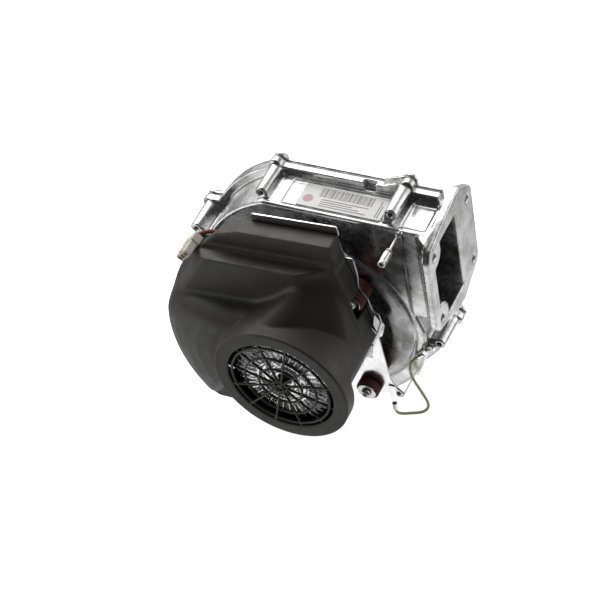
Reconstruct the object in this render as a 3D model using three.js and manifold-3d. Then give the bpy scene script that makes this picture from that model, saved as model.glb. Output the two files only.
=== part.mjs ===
// Premix combustion fan: a die-cast scroll housing with a square outlet flange, an external-rotor
// motor on a zinc plate held by three rubber mounts, and a stepped plastic cover with a round grille.
// Millimetres. The origin is the centre of the outlet flange's four holes, on its sealing face.
// +X blows out of the outlet, +Z is up, -Y is the motor side and +Y the air inlet side.
import * as THREE from "three";
import { ConvexGeometry } from "three/addons/geometries/ConvexGeometry.js";
import { mergeVertices } from "three/addons/utils/BufferGeometryUtils.js";
import Module from "manifold-3d";

const wasm = await Module();
wasm.setup();

// ---- driving dimensions -------------------------------------------------------------------------

const GAP = 0.3;
const AXIS = { x: -116.6, z: -70.2 };

const CASTING = {
  wall: 3.5,
  frontY: -28,
  splitY: 16,
  topZ: 49,
  ductBottomZ: -48,
  spiralStart: 94,
  spiralPerDegree: 0.125,
  spiralEnd: 251.7,
  rimOut: 8,
  rimThick: 7,
};
const RAISED = { radius: 85, shoulder: 72, y: -34 };
const FLANGE = { thick: 7, holePitch: 70, holeRadius: 3.4 };
const OPENING = { frontY: -35, rearY: 12, bottomZ: -43, topZ: 40, bossRadius: 13.5 };
const SEAL = { thick: 0.8 };
const REAR = { rimThick: 4, dishY: 24, collarOuter: 52, collarInner: 36, collarY: 46 };
const BOSS = { frontY: -22, radius: 5.6, rimRadius: 9.5, holeRadius: 1.9, screwRadius: 1.6 };
// Screw bosses round the split: distance and direction from the fan axis, the direction in degrees
// anticlockwise from +X.
const BOSS_PLACES = [
  [132, 152],
  [130, 108.5],
  [149, 59.5],
  [103.8, -9],
  [113, -61],
  [119, -112],
  [126, -163],
];
const PLATE = { frontY: -48, thick: 1.5 };
const MOUNTS = [
  { x: -71.5, z: -18.5 },
  { x: -72.5, z: -130.5 },
  { x: -192, z: -74 },
];
const MOUNT = { radius: 10.5, neck: 7, frontY: -56, sleeve: 4, screw: 2.4 };
const GRILLE = { y: -119, thick: 2.6, rim: 62, opening: 48.8, ring: 46, mid: 33, inner: 20, hub: 6 };
const COVER = {
  wall: 2.2,
  radius: 125,
  cornerX: -76,
  rise: 0.06,
  step1Y: -65,
  step1Z: 52.4,
  step2Y: -80,
  step2Z: 30,
  shoulderY: -113,
  chamferY: -104,
  middleX: -140,
  middleZ: -55,
};
const SHAFT = { radius: 3, frontY: -103, rearY: 13 };
const BEARING = { outer: 9.5, inner: 5, width: 7, frontY: -96, rearY: -58, balls: 7 };
const ROTOR = { radius: 44, wall: 2.2, frontY: -104, rearY: -62, fins: 18 };
const IMPELLER = { radius: 74, eye: 44, backY: -19, frontY: 9, blades: 16 };
const EARTH = { x: -20.6, z: -88.5, frontY: -25 };
const TAP = { x: -33.5, z: 43.5, frontY: -62, stemY: -42, radius: 3.2, stem: 1.2 };
const WIRE = { radius: 1.4, sides: 8, steps: 24 };

// ---- materials ----------------------------------------------------------------------------------

const finish = (color, roughness, metalness) =>
  new THREE.MeshStandardMaterial({ color, roughness, metalness });
const CAST = finish(0xb9bbb9, 0.42, 0.9);
const ZINC = finish(0xd9dbdb, 0.3, 1.0);
const STEEL = finish(0xaeb2b5, 0.3, 1.0);
const ELECTRICAL_STEEL = finish(0x6b6d70, 0.5, 0.8);
const COPPER = finish(0xb06a3a, 0.4, 0.9);
const MAGNET = finish(0x3a3a3c, 0.6, 0.2);
const BLACK_PLASTIC = finish(0x2a2826, 0.5, 0.0);
const RUBBER = finish(0x7b3a34, 0.75, 0.0);
const NITRILE = finish(0x1d1d1d, 0.8, 0.0);
const GASKET = finish(0x4a4d50, 0.85, 0.0);
const BOARD = finish(0x2f6b45, 0.55, 0.1);
const BLUE_SLEEVE = finish(0x2a3550, 0.45, 0.0);
const NYLON = finish(0xe6e0cf, 0.45, 0.0);
const PAPER = finish(0xf3f1ef, 0.6, 0.0);
const GREEN_YELLOW = finish(0xc3cf86, 0.5, 0.0);
const GREEN = finish(0x2f8a63, 0.5, 0.0);
const BROWN = finish(0x5c2222, 0.5, 0.0);

// ---- solids and placing -------------------------------------------------------------------------

// A closed three.js geometry as a manifold solid, turned face-out if its winding is inside out.
function solid(geometry) {
  const bare = geometry.clone();
  for (const name of ["normal", "uv"]) bare.deleteAttribute(name);
  const merged = mergeVertices(bare, 1e-4);
  const points = merged.attributes.position.array;
  const corners = [];
  let volume = 0;
  for (let i = 0; i < merged.index.count; i += 3) {
    const [a, b, c] = [0, 1, 2].map((k) => merged.index.getX(i + k));
    if (a === b || b === c || c === a) continue;
    corners.push(a, b, c);
    const [p, q, r] = [a, b, c].map((k) => new THREE.Vector3().fromArray(points, 3 * k));
    volume += p.dot(q.cross(r));
  }
  if (volume < 0) corners.reverse();
  const mesh = new wasm.Mesh({
    numProp: 3,
    vertProperties: new Float32Array(points),
    triVerts: new Uint32Array(corners),
  });
  return new wasm.Manifold(mesh);
}

function geometryOf(body) {
  const mesh = body.getMesh();
  const geometry = new THREE.BufferGeometry();
  geometry.setAttribute("position", new THREE.BufferAttribute(new Float32Array(mesh.vertProperties), 3));
  geometry.setIndex(new THREE.BufferAttribute(new Uint32Array(mesh.triVerts), 1));
  geometry.computeVertexNormals();
  return geometry;
}

const join = (...bodies) => bodies.reduce((sum, body) => sum.add(body));
const cut = (body, ...tools) => tools.reduce((rest, tool) => rest.subtract(tool), body);

const FACING = {
  x: new THREE.Matrix4().makeBasis(
    new THREE.Vector3(0, 1, 0), new THREE.Vector3(0, 0, 1), new THREE.Vector3(1, 0, 0)),
  y: new THREE.Matrix4().makeBasis(
    new THREE.Vector3(0, 0, 1), new THREE.Vector3(1, 0, 0), new THREE.Vector3(0, 1, 0)),
  z: new THREE.Matrix4(),
};

const shapeOf = (points) => new THREE.Shape(points.map(([a, b]) => new THREE.Vector2(a, b)));

// A straight prism along an axis, between two values of it. Its outline's points are (y, z) along x,
// (x, z) along y, and (x, y) along z.
function prism(axis, outline, from, to) {
  const turned = axis === "y" ? outline.map(([x, z]) => [z, x]) : outline;
  const geometry = new THREE.ExtrudeGeometry(shapeOf(turned), { depth: to - from, bevelEnabled: false });
  geometry.translate(0, 0, from);
  return solid(geometry.applyMatrix4(FACING[axis]));
}

function block(x0, x1, y0, y1, z0, z1) {
  const geometry = new THREE.BoxGeometry(x1 - x0, y1 - y0, z1 - z0);
  return geometry.translate((x0 + x1) / 2, (y0 + y1) / 2, (z0 + z1) / 2);
}

const box = (...sides) => solid(block(...sides));

// A cylinder, or a cone frustum, along Y.
function column(x, z, radius, from, to, sides, endRadius = radius) {
  const geometry = new THREE.CylinderGeometry(endRadius, radius, to - from, sides);
  return geometry.translate(x, (from + to) / 2, z);
}

const rod = (x, z, radius, from, to, sides = 12) => solid(column(x, z, radius, from, to, sides));

// The convex solid that wraps round several geometries.
function wrap(...geometries) {
  const points = [];
  for (const { attributes: { position } } of geometries) {
    for (let i = 0; i < position.count; i += 1) {
      points.push(new THREE.Vector3().fromBufferAttribute(position, i));
    }
  }
  return solid(new ConvexGeometry(points));
}

// A body of revolution round the fan axis, from a closed profile of (radius, y) points.
function turned(profile, sides = 28, x = AXIS.x, z = AXIS.z) {
  const closed = [...profile, profile[0]].map(([radius, y]) => new THREE.Vector2(radius, y));
  return solid(new THREE.LatheGeometry(closed, sides).translate(x, 0, z));
}

const tube = (outer, inner, from, to, sides = 24, x = AXIS.x, z = AXIS.z) =>
  turned([[inner, from], [outer, from], [outer, to], [inner, to]], sides, x, z);

// A point in the XZ plane at a distance and a direction in degrees from the fan axis.
function polar(radius, degrees) {
  const angle = THREE.MathUtils.degToRad(degrees);
  return [AXIS.x + radius * Math.cos(angle), AXIS.z + radius * Math.sin(angle)];
}

// A round rod along a smooth path through points.
function flexible(points, radius, sides, steps) {
  const path = new THREE.CatmullRomCurve3(points.map((p) => new THREE.Vector3(...p)));
  const section = [];
  for (let i = 0; i < sides; i += 1) {
    const angle = (2 * Math.PI * i) / sides;
    section.push([radius * Math.cos(angle), radius * Math.sin(angle)]);
  }
  return new THREE.ExtrudeGeometry(shapeOf(section), { steps, extrudePath: path });
}

const part = new THREE.Group();

function add(group, name, material, body) {
  const geometry = body instanceof wasm.Manifold ? geometryOf(body) : body;
  const mesh = new THREE.Mesh(geometry, material);
  mesh.name = name;
  group.add(mesh);
}

// ---- housing ------------------------------------------------------------------------------------

// Outline of the scroll and its outlet duct, grown outward by an offset.
function scrollOutline(offset, step = 12) {
  const outline = [];
  const count = Math.round(CASTING.spiralEnd / step);
  for (let i = 0; i <= count; i += 1) {
    const turn = (CASTING.spiralEnd * i) / count;
    outline.push(polar(CASTING.spiralStart + CASTING.spiralPerDegree * turn + offset, -turn));
  }
  outline.push([-60, CASTING.topZ + offset]);
  return outline;
}

const duct = (offset, x0, x1, y0, y1) =>
  box(x0, x1, y0, y1, CASTING.ductBottomZ - offset, CASTING.topZ + offset);

const scroll = (offset, y0, y1, ductEnd = -FLANGE.thick + 1) =>
  join(prism("y", scrollOutline(offset), y0, y1), duct(offset, -90, ductEnd, y0, y1));

// Square flange plate: straight sides, bulged top and bottom, corners rounded about the holes.
function flangePlate() {
  const half = FLANGE.holePitch / 2;
  const corner = 11.6;
  const outline = [];
  const arc = (y, z, from, to) => {
    for (let i = 0; i <= 3; i += 1) {
      const angle = THREE.MathUtils.degToRad(from + ((to - from) * i) / 3);
      outline.push([y + corner * Math.cos(angle), z + corner * Math.sin(angle)]);
    }
  };
  arc(half, half, 0, 62);
  outline.push([24, 57.4], [8, 56.6], [-12, 52.8]);
  arc(-half, half, 112, 180);
  arc(-half, -half, 180, 238);
  outline.push([-26, -49.5], [-8, -57.4], [11, -59.6]);
  arc(half, -half, 302, 360);
  return prism("x", outline, -FLANGE.thick, 0);
}

function flangeHoles(radius, from, to) {
  const half = FLANGE.holePitch / 2;
  const geometries = [];
  for (const [y, z] of [[half, half], [-half, half], [-half, -half], [half, -half]]) {
    const geometry = new THREE.CylinderGeometry(radius, radius, to - from, 10);
    geometry.rotateZ(Math.PI / 2);
    geometries.push(solid(geometry.translate((from + to) / 2, y, z)));
  }
  return join(...geometries);
}

// One screw boss: a ridge along the wall from the rim forward, with a leg down the front wall.
function screwBoss(distance, direction) {
  const [x, z] = polar(distance, direction);
  const [footX, footZ] = polar(distance - 17, direction);
  const ridge = column(x, z, BOSS.radius, BOSS.frontY, CASTING.splitY - 1, 10, BOSS.radius + 1.6);
  const bulge = rod(x, z, BOSS.rimRadius, CASTING.splitY - GAP - CASTING.rimThick, CASTING.splitY - GAP);
  const leg = column(footX, footZ, 1.4, BOSS.frontY, CASTING.splitY - 2, 6);
  return join(wrap(ridge, leg), bulge);
}

function bossHoles(radius, from, to) {
  return join(...BOSS_PLACES.map(([distance, direction]) => {
    const [x, z] = polar(distance, direction);
    return rod(x, z, radius, from, to, 8);
  }));
}

function frontCasting() {
  const rimRear = CASTING.splitY - GAP;
  const inner = -CASTING.wall;
  const neckSection = (x, front) => block(x - 0.2, x, front, rimRear, CASTING.ductBottomZ, CASTING.topZ);
  const neck = join(
    wrap(
      neckSection(-17, CASTING.frontY),
      neckSection(1 - FLANGE.thick, OPENING.frontY - CASTING.wall),
    ),
    flangePlate(),
  );
  const rim = scroll(CASTING.rimOut, rimRear - CASTING.rimThick, rimRear, -12);
  const raised = turned([
    [0, CASTING.frontY + 1],
    [RAISED.radius, CASTING.frontY + 1],
    [RAISED.radius, CASTING.frontY],
    [RAISED.shoulder + 6, RAISED.y + 1.5],
    [RAISED.shoulder, RAISED.y],
    [0, RAISED.y],
  ]);
  const shell = join(
    scroll(0, CASTING.frontY, rimRear),
    rim,
    raised,
    neck,
    ...BOSS_PLACES.map(([distance, direction]) => screwBoss(distance, direction)),
    ...MOUNTS.map(({ x, z }) => rod(x, z, 6, RAISED.y - 1, CASTING.frontY + 1)),
    ...earthLug(),
  );
  const { bottomZ, topZ, rearY } = OPENING;
  const hollow = join(
    scroll(inner, CASTING.frontY + CASTING.wall, rimRear + 1, -34),
    box(-36, -17, CASTING.frontY + CASTING.wall, rearY, bottomZ, topZ),
    wrap(
      block(-17.2, -17, CASTING.frontY + CASTING.wall, rearY, bottomZ, topZ),
      block(-FLANGE.thick, 1, OPENING.frontY, rearY, bottomZ, topZ),
    ),
  );
  const keepCorners = [FLANGE.holePitch / 2, -FLANGE.holePitch / 2].map((z) => {
    const geometry = new THREE.CylinderGeometry(OPENING.bossRadius, OPENING.bossRadius, 30, 14);
    return solid(geometry.rotateZ(Math.PI / 2).translate(-15, -FLANGE.holePitch / 2, z));
  });
  const ductCavity = cut(hollow, ...keepCorners);
  const recess = join(
    box(-141, -50, -25, 6.5, CASTING.topZ - 1.2, CASTING.topZ + 12),
    box(-33, -11, -23, 6, CASTING.topZ - 1.2, CASTING.topZ + 12),
  );
  const slot = box(-77, -68, 9.6, 13, CASTING.topZ + 0.8, CASTING.topZ + 12);
  return cut(
    shell,
    ductCavity,
    recess,
    slot,
    flangeHoles(FLANGE.holeRadius, -FLANGE.thick - 4, 1),
    bossHoles(BOSS.holeRadius, BOSS.frontY - 1, CASTING.splitY + 1),
    rod(AXIS.x, AXIS.z, 11, RAISED.y - 5, 0, 24),
    rod(EARTH.x, EARTH.z, 6, CASTING.frontY - 3, EARTH.frontY),
    rod(EARTH.x, EARTH.z, 1.9, EARTH.frontY - 1, -8, 8),
    rod(TAP.x, TAP.z, TAP.stem + GAP, CASTING.frontY - 1, CASTING.frontY + 2.5, 8),
    ...MOUNTS.map(({ x, z }) => rod(x, z, 2, RAISED.y - 2, CASTING.frontY + 2.5, 8)),
  );
}

// The lug beside the right-hand screw boss that the bonding wire's ring is screwed to.
function earthLug() {
  const { x, z, frontY } = EARTH;
  return [rod(x, z, 4.8, frontY, 6), box(x - 4, x + 8, frontY + 3, 6, z - 1, z + 6)];
}

function rearCasting() {
  const front = CASTING.splitY + SEAL.thick + GAP;
  const rimRear = front + REAR.rimThick;
  const dish = turned([
    [0, front], [100, front], [100, rimRear], [88, REAR.dishY + 2],
    [REAR.collarOuter + 6, REAR.dishY + 4], [REAR.collarOuter, REAR.dishY + 8],
    [REAR.collarOuter, REAR.collarY], [0, REAR.collarY],
  ]);
  const bore = turned([
    [0, front - 1], [IMPELLER.eye + 2, front - 1], [REAR.collarInner + 3, front + 6],
    [REAR.collarInner, front + 12], [REAR.collarInner, REAR.collarY + 1], [0, REAR.collarY + 1],
  ]);
  const groove = tube(46, 43, REAR.collarY - 2.4, REAR.collarY + 1);
  const lugs = [30, 150, 270].map((direction) => {
    const [x, z] = polar(REAR.collarOuter + 3, direction);
    return rod(x, z, 7.5, REAR.dishY, REAR.collarY);
  });
  const lugHoles = [30, 150, 270].map((direction) => {
    const [x, z] = polar(REAR.collarOuter + 3, direction);
    return rod(x, z, 2.5, REAR.collarY - 12, REAR.collarY + 1, 8);
  });
  const ribs = [60, 120, 200, 300].map((direction) => {
    const [x, z] = polar(72, direction);
    const rib = new THREE.BoxGeometry(38, 5, 3);
    rib.rotateY(-THREE.MathUtils.degToRad(direction));
    return solid(rib.translate(x, rimRear + 5, z));
  });
  const bosses = BOSS_PLACES.map(([distance, direction]) => {
    const [x, z] = polar(distance, direction);
    return rod(x, z, BOSS.rimRadius - 0.6, front, rimRear + 2);
  });
  const body = join(scroll(CASTING.rimOut - 0.6, front, rimRear, -12), dish, ...bosses, ...lugs, ...ribs);
  return cut(body, bore, groove, ...lugHoles, bossHoles(BOSS.screwRadius + GAP, front - 1, rimRear + 3));
}

function splitSeal() {
  const from = CASTING.splitY;
  const to = from + SEAL.thick;
  const ring = cut(
    join(scroll(CASTING.rimOut - 2, from, to, -13), ...BOSS_PLACES.map(([distance, direction]) => {
      const [x, z] = polar(distance, direction);
      return rod(x, z, BOSS.rimRadius - 2, from, to, 10);
    })),
    scroll(-CASTING.wall + 1, from - 1, to + 1, -17),
    bossHoles(BOSS.holeRadius + 0.4, from - 1, to + 1),
  );
  return ring;
}

function addHousing() {
  const housing = new THREE.Group();
  part.add(housing);
  add(housing, "volute_front", CAST, frontCasting());
  add(housing, "volute_rear", CAST, rearCasting());
  add(housing, "housing_seal", GASKET, splitSeal());
  const seat = CASTING.splitY + SEAL.thick + GAP + REAR.rimThick + 2 + GAP;
  BOSS_PLACES.forEach(([distance, direction], index) => {
    const [x, z] = polar(distance, direction);
    const head = cut(rod(x, z, 3.8, seat, seat + 3, 10), rod(x, z, 1.4, seat + 1.4, seat + 4, 6));
    const shank = rod(x, z, BOSS.screwRadius, seat - 24, seat + 0.5, 8);
    add(housing, `housing_screw_${index + 1}`, STEEL, join(head, shank));
  });
  const [sealOut, sealIn] = [45.6, 43.4];
  add(housing, "inlet_seal", NITRILE, tube(sealOut, sealIn, REAR.collarY - 2.1, REAR.collarY - 0.2));
}

// ---- motor plate, mounts and cover --------------------------------------------------------------

const PLATE_OUTLINE = [
  [-154.4, 55], [-76.3, 60], [-75, 50], [-71, 26.5], [-66.8, 26.5], [-65, 7], [-66.4, -5],
  [-64.3, -12], [-59.7, -17.6], [-57.5, -30.5], [-55.5, -34.5], [-52, -34.3], [-51, -43], [-48.6, -48],
  [-52.5, -62], [-56, -64], [-52.5, -115], [-47.5, -129], [-56, -136], [-95, -147], [-150, -147],
  [-186, -157], [-213, -157], [-226, -141], [-232, -118], [-236, -78], [-226, -30], [-210, -4], [-176, 36],
];

function motorPlate() {
  const rear = PLATE.frontY + PLATE.thick;
  const sheet = prism("y", PLATE_OUTLINE, PLATE.frontY, rear);
  const holes = MOUNTS.map(({ x, z }) => rod(x, z, MOUNT.neck + GAP, PLATE.frontY - 1, rear + 1, 16));
  return cut(
    sheet,
    rod(AXIS.x, AXIS.z, 12, PLATE.frontY - 1, rear + 1, 20),
    ...holes,
    rod(-52, -128, 1.6, PLATE.frontY - 1, rear + 1, 8),
    box(-72.5, -65.5, PLATE.frontY - 1, rear + 1, -93, -91.6),
  );
}

// Height of a ledge at x. The motor unit sits turned a few degrees on its rubber mounts.
const ledge = (height, x) => height + COVER.rise * (x - COVER.cornerX);

// A point of the XZ plane moved towards the cover's middle by an inset.
function inwards([x, z], inset) {
  const away = new THREE.Vector2(x - COVER.middleX, z - COVER.middleZ);
  away.setLength(away.length() - inset);
  return [COVER.middleX + away.x, COVER.middleZ + away.y];
}

const arcPoints = (radius, from, to, count) =>
  Array.from({ length: count + 1 }, (_, i) => polar(radius, from + ((to - from) * i) / count));

// Outline of the cover's skirt in XZ, drawn in by an inset.
function coverOutline(inset) {
  const outline = [
    ...arcPoints(COVER.radius, 128, 184, 6),
    [-236, -115], [-228, -143], [-216, -160], [-185, -160], [-150, -146],
    ...arcPoints(GRILLE.rim - 1, -90, 0, 5),
    [-61, -45], [-66, -9], [-74, 24],
    [COVER.cornerX, COVER.step1Z], [-162, ledge(COVER.step1Z, -162)], [-182, 40],
  ];
  return outline.map((point) => inwards(point, inset));
}

// The convex body between a set of front points and the same outline at the plate.
function bulge(frontPoints, inset, back) {
  const points = [];
  for (const [x, y, z] of frontPoints) {
    const [insetX, insetZ] = inwards([x, z], inset);
    points.push(new THREE.Vector3(insetX, y + inset, insetZ), new THREE.Vector3(insetX, back, insetZ));
  }
  return solid(new ConvexGeometry(points));
}

// The cover's mass: a skirt, a ledge, a dome on the left, a slanted shoulder on the right, a round boss.
function coverMass(inset) {
  const rear = PLATE.frontY - GAP;
  const back = inset === 0 ? rear : rear + 1;
  const { step1Y, step2Y, step2Z, shoulderY } = COVER;
  const skirt = prism("y", coverOutline(inset), step1Y + inset, back);
  const underLedge = prism("y", [
    [-260, ledge(step2Z, -260) - inset], [0, ledge(step2Z, 0) - inset], [0, -200], [-260, -200],
  ], step2Y + inset, back);
  const bentFront = prism("z", [
    [-260, back], [-260, step2Y + inset], [-103, step2Y + inset], [COVER.cornerX, step1Y + inset],
    [COVER.cornerX + 30, step1Y + inset], [COVER.cornerX + 30, back],
  ], -200, 60);
  const deepSkirt = prism("y", coverOutline(inset), step2Y + inset, back);
  const step2 = deepSkirt.intersect(underLedge).intersect(bentFront);
  const at = (depth) => ([x, z]) => [x, depth, z];
  const dome = bulge([
    ...arcPoints(COVER.radius, 160, 184, 2).map(at(step2Y)),
    [-236, step2Y - 2, -115], [-228, step2Y - 2, -143], [-216, step2Y - 2, -160], [-185, step2Y - 2, -160],
    [-150, step2Y - 2, -146], [-218, step2Y, -28], [-149, step2Y, -16], [-134, step2Y, -8],
    ...arcPoints(GRILLE.rim + 3, 112, 256, 8).map(at(shoulderY)),
  ], inset, back);
  const slant = bulge([
    [-134, step2Y, -8], [-105, step2Y, 20], [-77, step1Y - 1, 26], [-66, -82, -15],
    ...[[0, -86], [23, -88], [42, -92.5], [61, -99], [76, -108], [96, shoulderY], [118, shoulderY]].map(
      ([direction, depth]) => at(depth)(polar(GRILLE.rim, direction))),
  ], inset, back);
  const boss = rod(AXIS.x, AXIS.z, GRILLE.rim - inset, GRILLE.y + (inset ? GRILLE.thick : 0), back, 32);
  const chamfer = prism("y", [
    [-52 - inset, -57], [-101.5 - inset, -158], [-101.5 - inset, -175], [0, -175], [0, -57],
  ], COVER.chamferY - inset, back + 1);
  return cut(join(skirt, step2, dome, slant, boss), chamfer);
}

function grilleCuts() {
  const [front, rear] = [GRILLE.y - 1, GRILLE.y + GRILLE.thick + 1];
  const bands = [
    [GRILLE.opening, GRILLE.ring, 12, 1.6],
    [GRILLE.ring - 1.8, GRILLE.mid + 0.9, 12, 1.8],
    [GRILLE.mid - 0.9, GRILLE.inner + 0.8, 12, 1.8],
    [GRILLE.inner - 0.8, GRILLE.hub + 1, 6, 1.8],
    [GRILLE.hub - 1, 2.2, 3, 1.2],
  ];
  return bands.map(([outer, inner, spokes, width]) => {
    let ring = tube(outer, inner, front, rear, 24);
    for (let i = 0; i < spokes; i += 1) {
      const bar = new THREE.BoxGeometry(outer + 4, rear - front + 2, width);
      bar.translate((outer + 4) / 2, (front + rear) / 2, 0);
      bar.rotateY((2 * Math.PI * (i + 0.5)) / spokes);
      ring = ring.subtract(solid(bar.translate(AXIS.x, 0, AXIS.z)));
    }
    return ring;
  });
}

const COVER_SCREWS = [[-100, -140], [-208, -30], [-150, 38]];

function motorCover() {
  const rear = PLATE.frontY - GAP;
  const mass = coverMass(0);
  const posts = COVER_SCREWS.map(([x, z]) => rod(x, z, 4, GRILLE.y, rear, 12).intersect(mass));
  const leadNotch = box(-214, -172, -59.5, rear + 1, 12, 50);
  const shell = cut(join(cut(mass, coverMass(COVER.wall), ...grilleCuts()), ...posts), leadNotch);
  const clearMounts = MOUNTS.slice(0, 2).map(({ x, z }) =>
    rod(x, z, MOUNT.radius + 1.2, -72, rear + 2, 16));
  return cut(shell, ...clearMounts, ...COVER_SCREWS.map(([x, z]) => rod(x, z, 1.3, rear - 9, rear + 1, 10)));
}

function addMotorMounting() {
  const group = new THREE.Group();
  part.add(group);
  add(group, "motor_plate", ZINC, motorPlate());
  add(group, "motor_cover", BLACK_PLASTIC, motorCover());
  const back = RAISED.y - 1 - GAP;
  const plateRear = PLATE.frontY + PLATE.thick + GAP;
  MOUNTS.forEach(({ x, z }, index) => {
    const rubber = turned([
      [MOUNT.sleeve + GAP, MOUNT.frontY], [MOUNT.radius - 1.5, MOUNT.frontY],
      [MOUNT.radius, MOUNT.frontY + 1.5], [MOUNT.radius, PLATE.frontY - GAP],
      [MOUNT.neck, PLATE.frontY - GAP], [MOUNT.neck, plateRear], [MOUNT.radius, plateRear],
      [MOUNT.radius, back - 1.5], [MOUNT.radius - 1.5, back], [MOUNT.sleeve + GAP, back],
    ], 14, x, z);
    const washerFront = MOUNT.frontY - GAP - 1.2;
    const head = cut(
      rod(x, z, 4.6, washerFront - GAP - 3.4, washerFront - GAP),
      rod(x, z, 2, washerFront - GAP - 4, washerFront - GAP - 1.6, 6),
    );
    const shank = rod(x, z, 1.7, washerFront - GAP - 0.5, CASTING.frontY + 1, 8);
    add(group, `rubber_mount_${index + 1}`, RUBBER, rubber);
    add(group, `mount_sleeve_${index + 1}`, STEEL,
      tube(MOUNT.sleeve, MOUNT.screw, MOUNT.frontY, back, 12, x, z));
    add(group, `mount_washer_${index + 1}`, STEEL,
      tube(8.6, MOUNT.screw, washerFront, MOUNT.frontY - GAP, 14, x, z));
    add(group, `mount_screw_${index + 1}`, STEEL, join(head, shank));
  });
}

// ---- motor --------------------------------------------------------------------------------------

// A crown cage with its balls, which rolls round between the two rings.
function ballCage(from) {
  const middle = from + BEARING.width / 2;
  const pieces = [tube(6.9, 6.1, middle - 2.4, middle + 2.4, 12)];
  for (let i = 0; i < BEARING.balls; i += 1) {
    const [x, z] = polar(6.5, (360 * i) / BEARING.balls);
    pieces.push(solid(new THREE.OctahedronGeometry(1.3, 0).translate(x, middle, z)));
  }
  return join(...pieces);
}

function addBearing(group, name, from) {
  const to = from + BEARING.width;
  add(group, `${name}_outer_ring`, STEEL, tube(BEARING.outer, 8, from, to, 20));
  add(group, `${name}_inner_ring`, STEEL, tube(BEARING.inner, SHAFT.radius + GAP, from, to, 16));
  add(group, `${name}_ball_cage`, STEEL, ballCage(from));
}

function statorCore() {
  const yoke = tube(22, 12.4, -92, -72);
  const teeth = [];
  for (let i = 0; i < 9; i += 1) {
    const stem = new THREE.BoxGeometry(14, 20, 4.5).translate(26, -82, 0);
    const shoe = new THREE.BoxGeometry(2.4, 20, 19).translate(33.6, -82, 0);
    for (const piece of [stem, shoe]) {
      piece.rotateY((2 * Math.PI * i) / 9);
      teeth.push(solid(piece.translate(AXIS.x, 0, AXIS.z)));
    }
  }
  return join(yoke, ...teeth);
}

// Nine coils round the teeth, linked into one body by the connecting ring at the plate end.
function statorWindings() {
  const pieces = [tube(31, 24.5, -68.8, -66)];
  for (let i = 0; i < 9; i += 1) {
    const coil = new THREE.BoxGeometry(7.6, 26, 11.4).translate(27.8, -81.8, 0);
    const window = new THREE.BoxGeometry(12, 20.6, 5.1).translate(28, -82, 0);
    const [outer, inner] = [coil, window].map((piece) => {
      piece.rotateY((2 * Math.PI * i) / 9);
      return solid(piece.translate(AXIS.x, 0, AXIS.z));
    });
    pieces.push(outer.subtract(inner));
  }
  const clear = rod(AXIS.x, AXIS.z, 23.4, -100, -60, 28);
  return cut(join(...pieces), clear);
}

function coolingWheel() {
  const rear = ROTOR.frontY - GAP;
  const disc = tube(ROTOR.radius, 6, rear - 1.4, rear);
  const fins = [];
  for (let i = 0; i < ROTOR.fins; i += 1) {
    const fin = new THREE.BoxGeometry(24, 7.5, 1.2).translate(31.6, rear - 5, 0);
    fin.rotateY((2 * Math.PI * i) / ROTOR.fins);
    fins.push(solid(fin.translate(AXIS.x, 0, AXIS.z)));
  }
  return join(disc, ...fins);
}

function impellerWheel() {
  const { radius, eye, backY, frontY, blades } = IMPELLER;
  const back = tube(radius, SHAFT.radius + GAP, backY, backY + 1.5, 36);
  const shroud = turned([
    [eye, frontY + 1], [radius, frontY - 4], [radius, frontY - 2.6], [eye, frontY + 2.4],
  ], 36);
  const hub = tube(9, SHAFT.radius + GAP, backY + 1, backY + 16, 16);
  const vanes = [];
  for (let i = 0; i < blades; i += 1) {
    const outline = [];
    const rows = 2;
    for (const side of [1, -1]) {
      for (let k = 0; k <= rows; k += 1) {
        const t = side > 0 ? k / rows : 1 - k / rows;
        const distance = eye + 4 + (radius - eye - 4.4) * t;
        const sweep = (360 * i) / blades - 24 * t * (1 - 0.35 * t);
        const shift = THREE.MathUtils.radToDeg((side * 0.6) / distance);
        outline.push(polar(distance, sweep + shift));
      }
    }
    vanes.push(prism("y", outline, backY + 1, frontY - 3.2));
  }
  return join(back, shroud, hub, ...vanes);
}

function addMotor() {
  const stator = new THREE.Group();
  const rotor = new THREE.Group();
  part.add(stator, rotor);
  const tubeRear = PLATE.frontY - GAP;
  add(stator, "bearing_tube", CAST, turned([
    [BEARING.outer + GAP, -97], [12, -97], [12, -66], [13.5, -64], [22, -54], [22, tubeRear],
    [BEARING.outer + GAP, tubeRear],
  ], 24));
  add(stator, "stator_core", ELECTRICAL_STEEL, statorCore());
  add(stator, "stator_windings", COPPER, statorWindings());
  addBearing(stator, "front_bearing", BEARING.frontY);
  addBearing(stator, "rear_bearing", BEARING.rearY);
  add(stator, "shaft_seal", NITRILE,
    tube(11 - GAP, SHAFT.radius + 0.6, RAISED.y + 1, CASTING.frontY + 2, 20));

  add(rotor, "shaft", STEEL, rod(AXIS.x, AXIS.z, SHAFT.radius, SHAFT.frontY + GAP, SHAFT.rearY));
  add(rotor, "rotor_bell", STEEL, turned([
    [0, ROTOR.frontY], [ROTOR.radius - 3, ROTOR.frontY], [ROTOR.radius, ROTOR.frontY + 3],
    [ROTOR.radius, ROTOR.rearY], [ROTOR.radius - ROTOR.wall, ROTOR.rearY],
    [ROTOR.radius - ROTOR.wall, SHAFT.frontY], [0, SHAFT.frontY],
  ], 32));
  const magnetOuter = ROTOR.radius - ROTOR.wall - GAP;
  add(rotor, "rotor_magnets", MAGNET, tube(magnetOuter, magnetOuter - 4.4, -95, -69, 32));
  add(rotor, "cooling_wheel", CAST, coolingWheel());
  add(rotor, "impeller", CAST, impellerWheel());
  add(rotor, "impeller_nut", STEEL,
    cut(rod(AXIS.x, AXIS.z, 6, IMPELLER.backY + 16 + GAP, IMPELLER.backY + 21, 6),
      rod(AXIS.x, AXIS.z, SHAFT.radius + GAP, -10, 10)));
}

// ---- electronics, leads and small pieces --------------------------------------------------------

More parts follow.
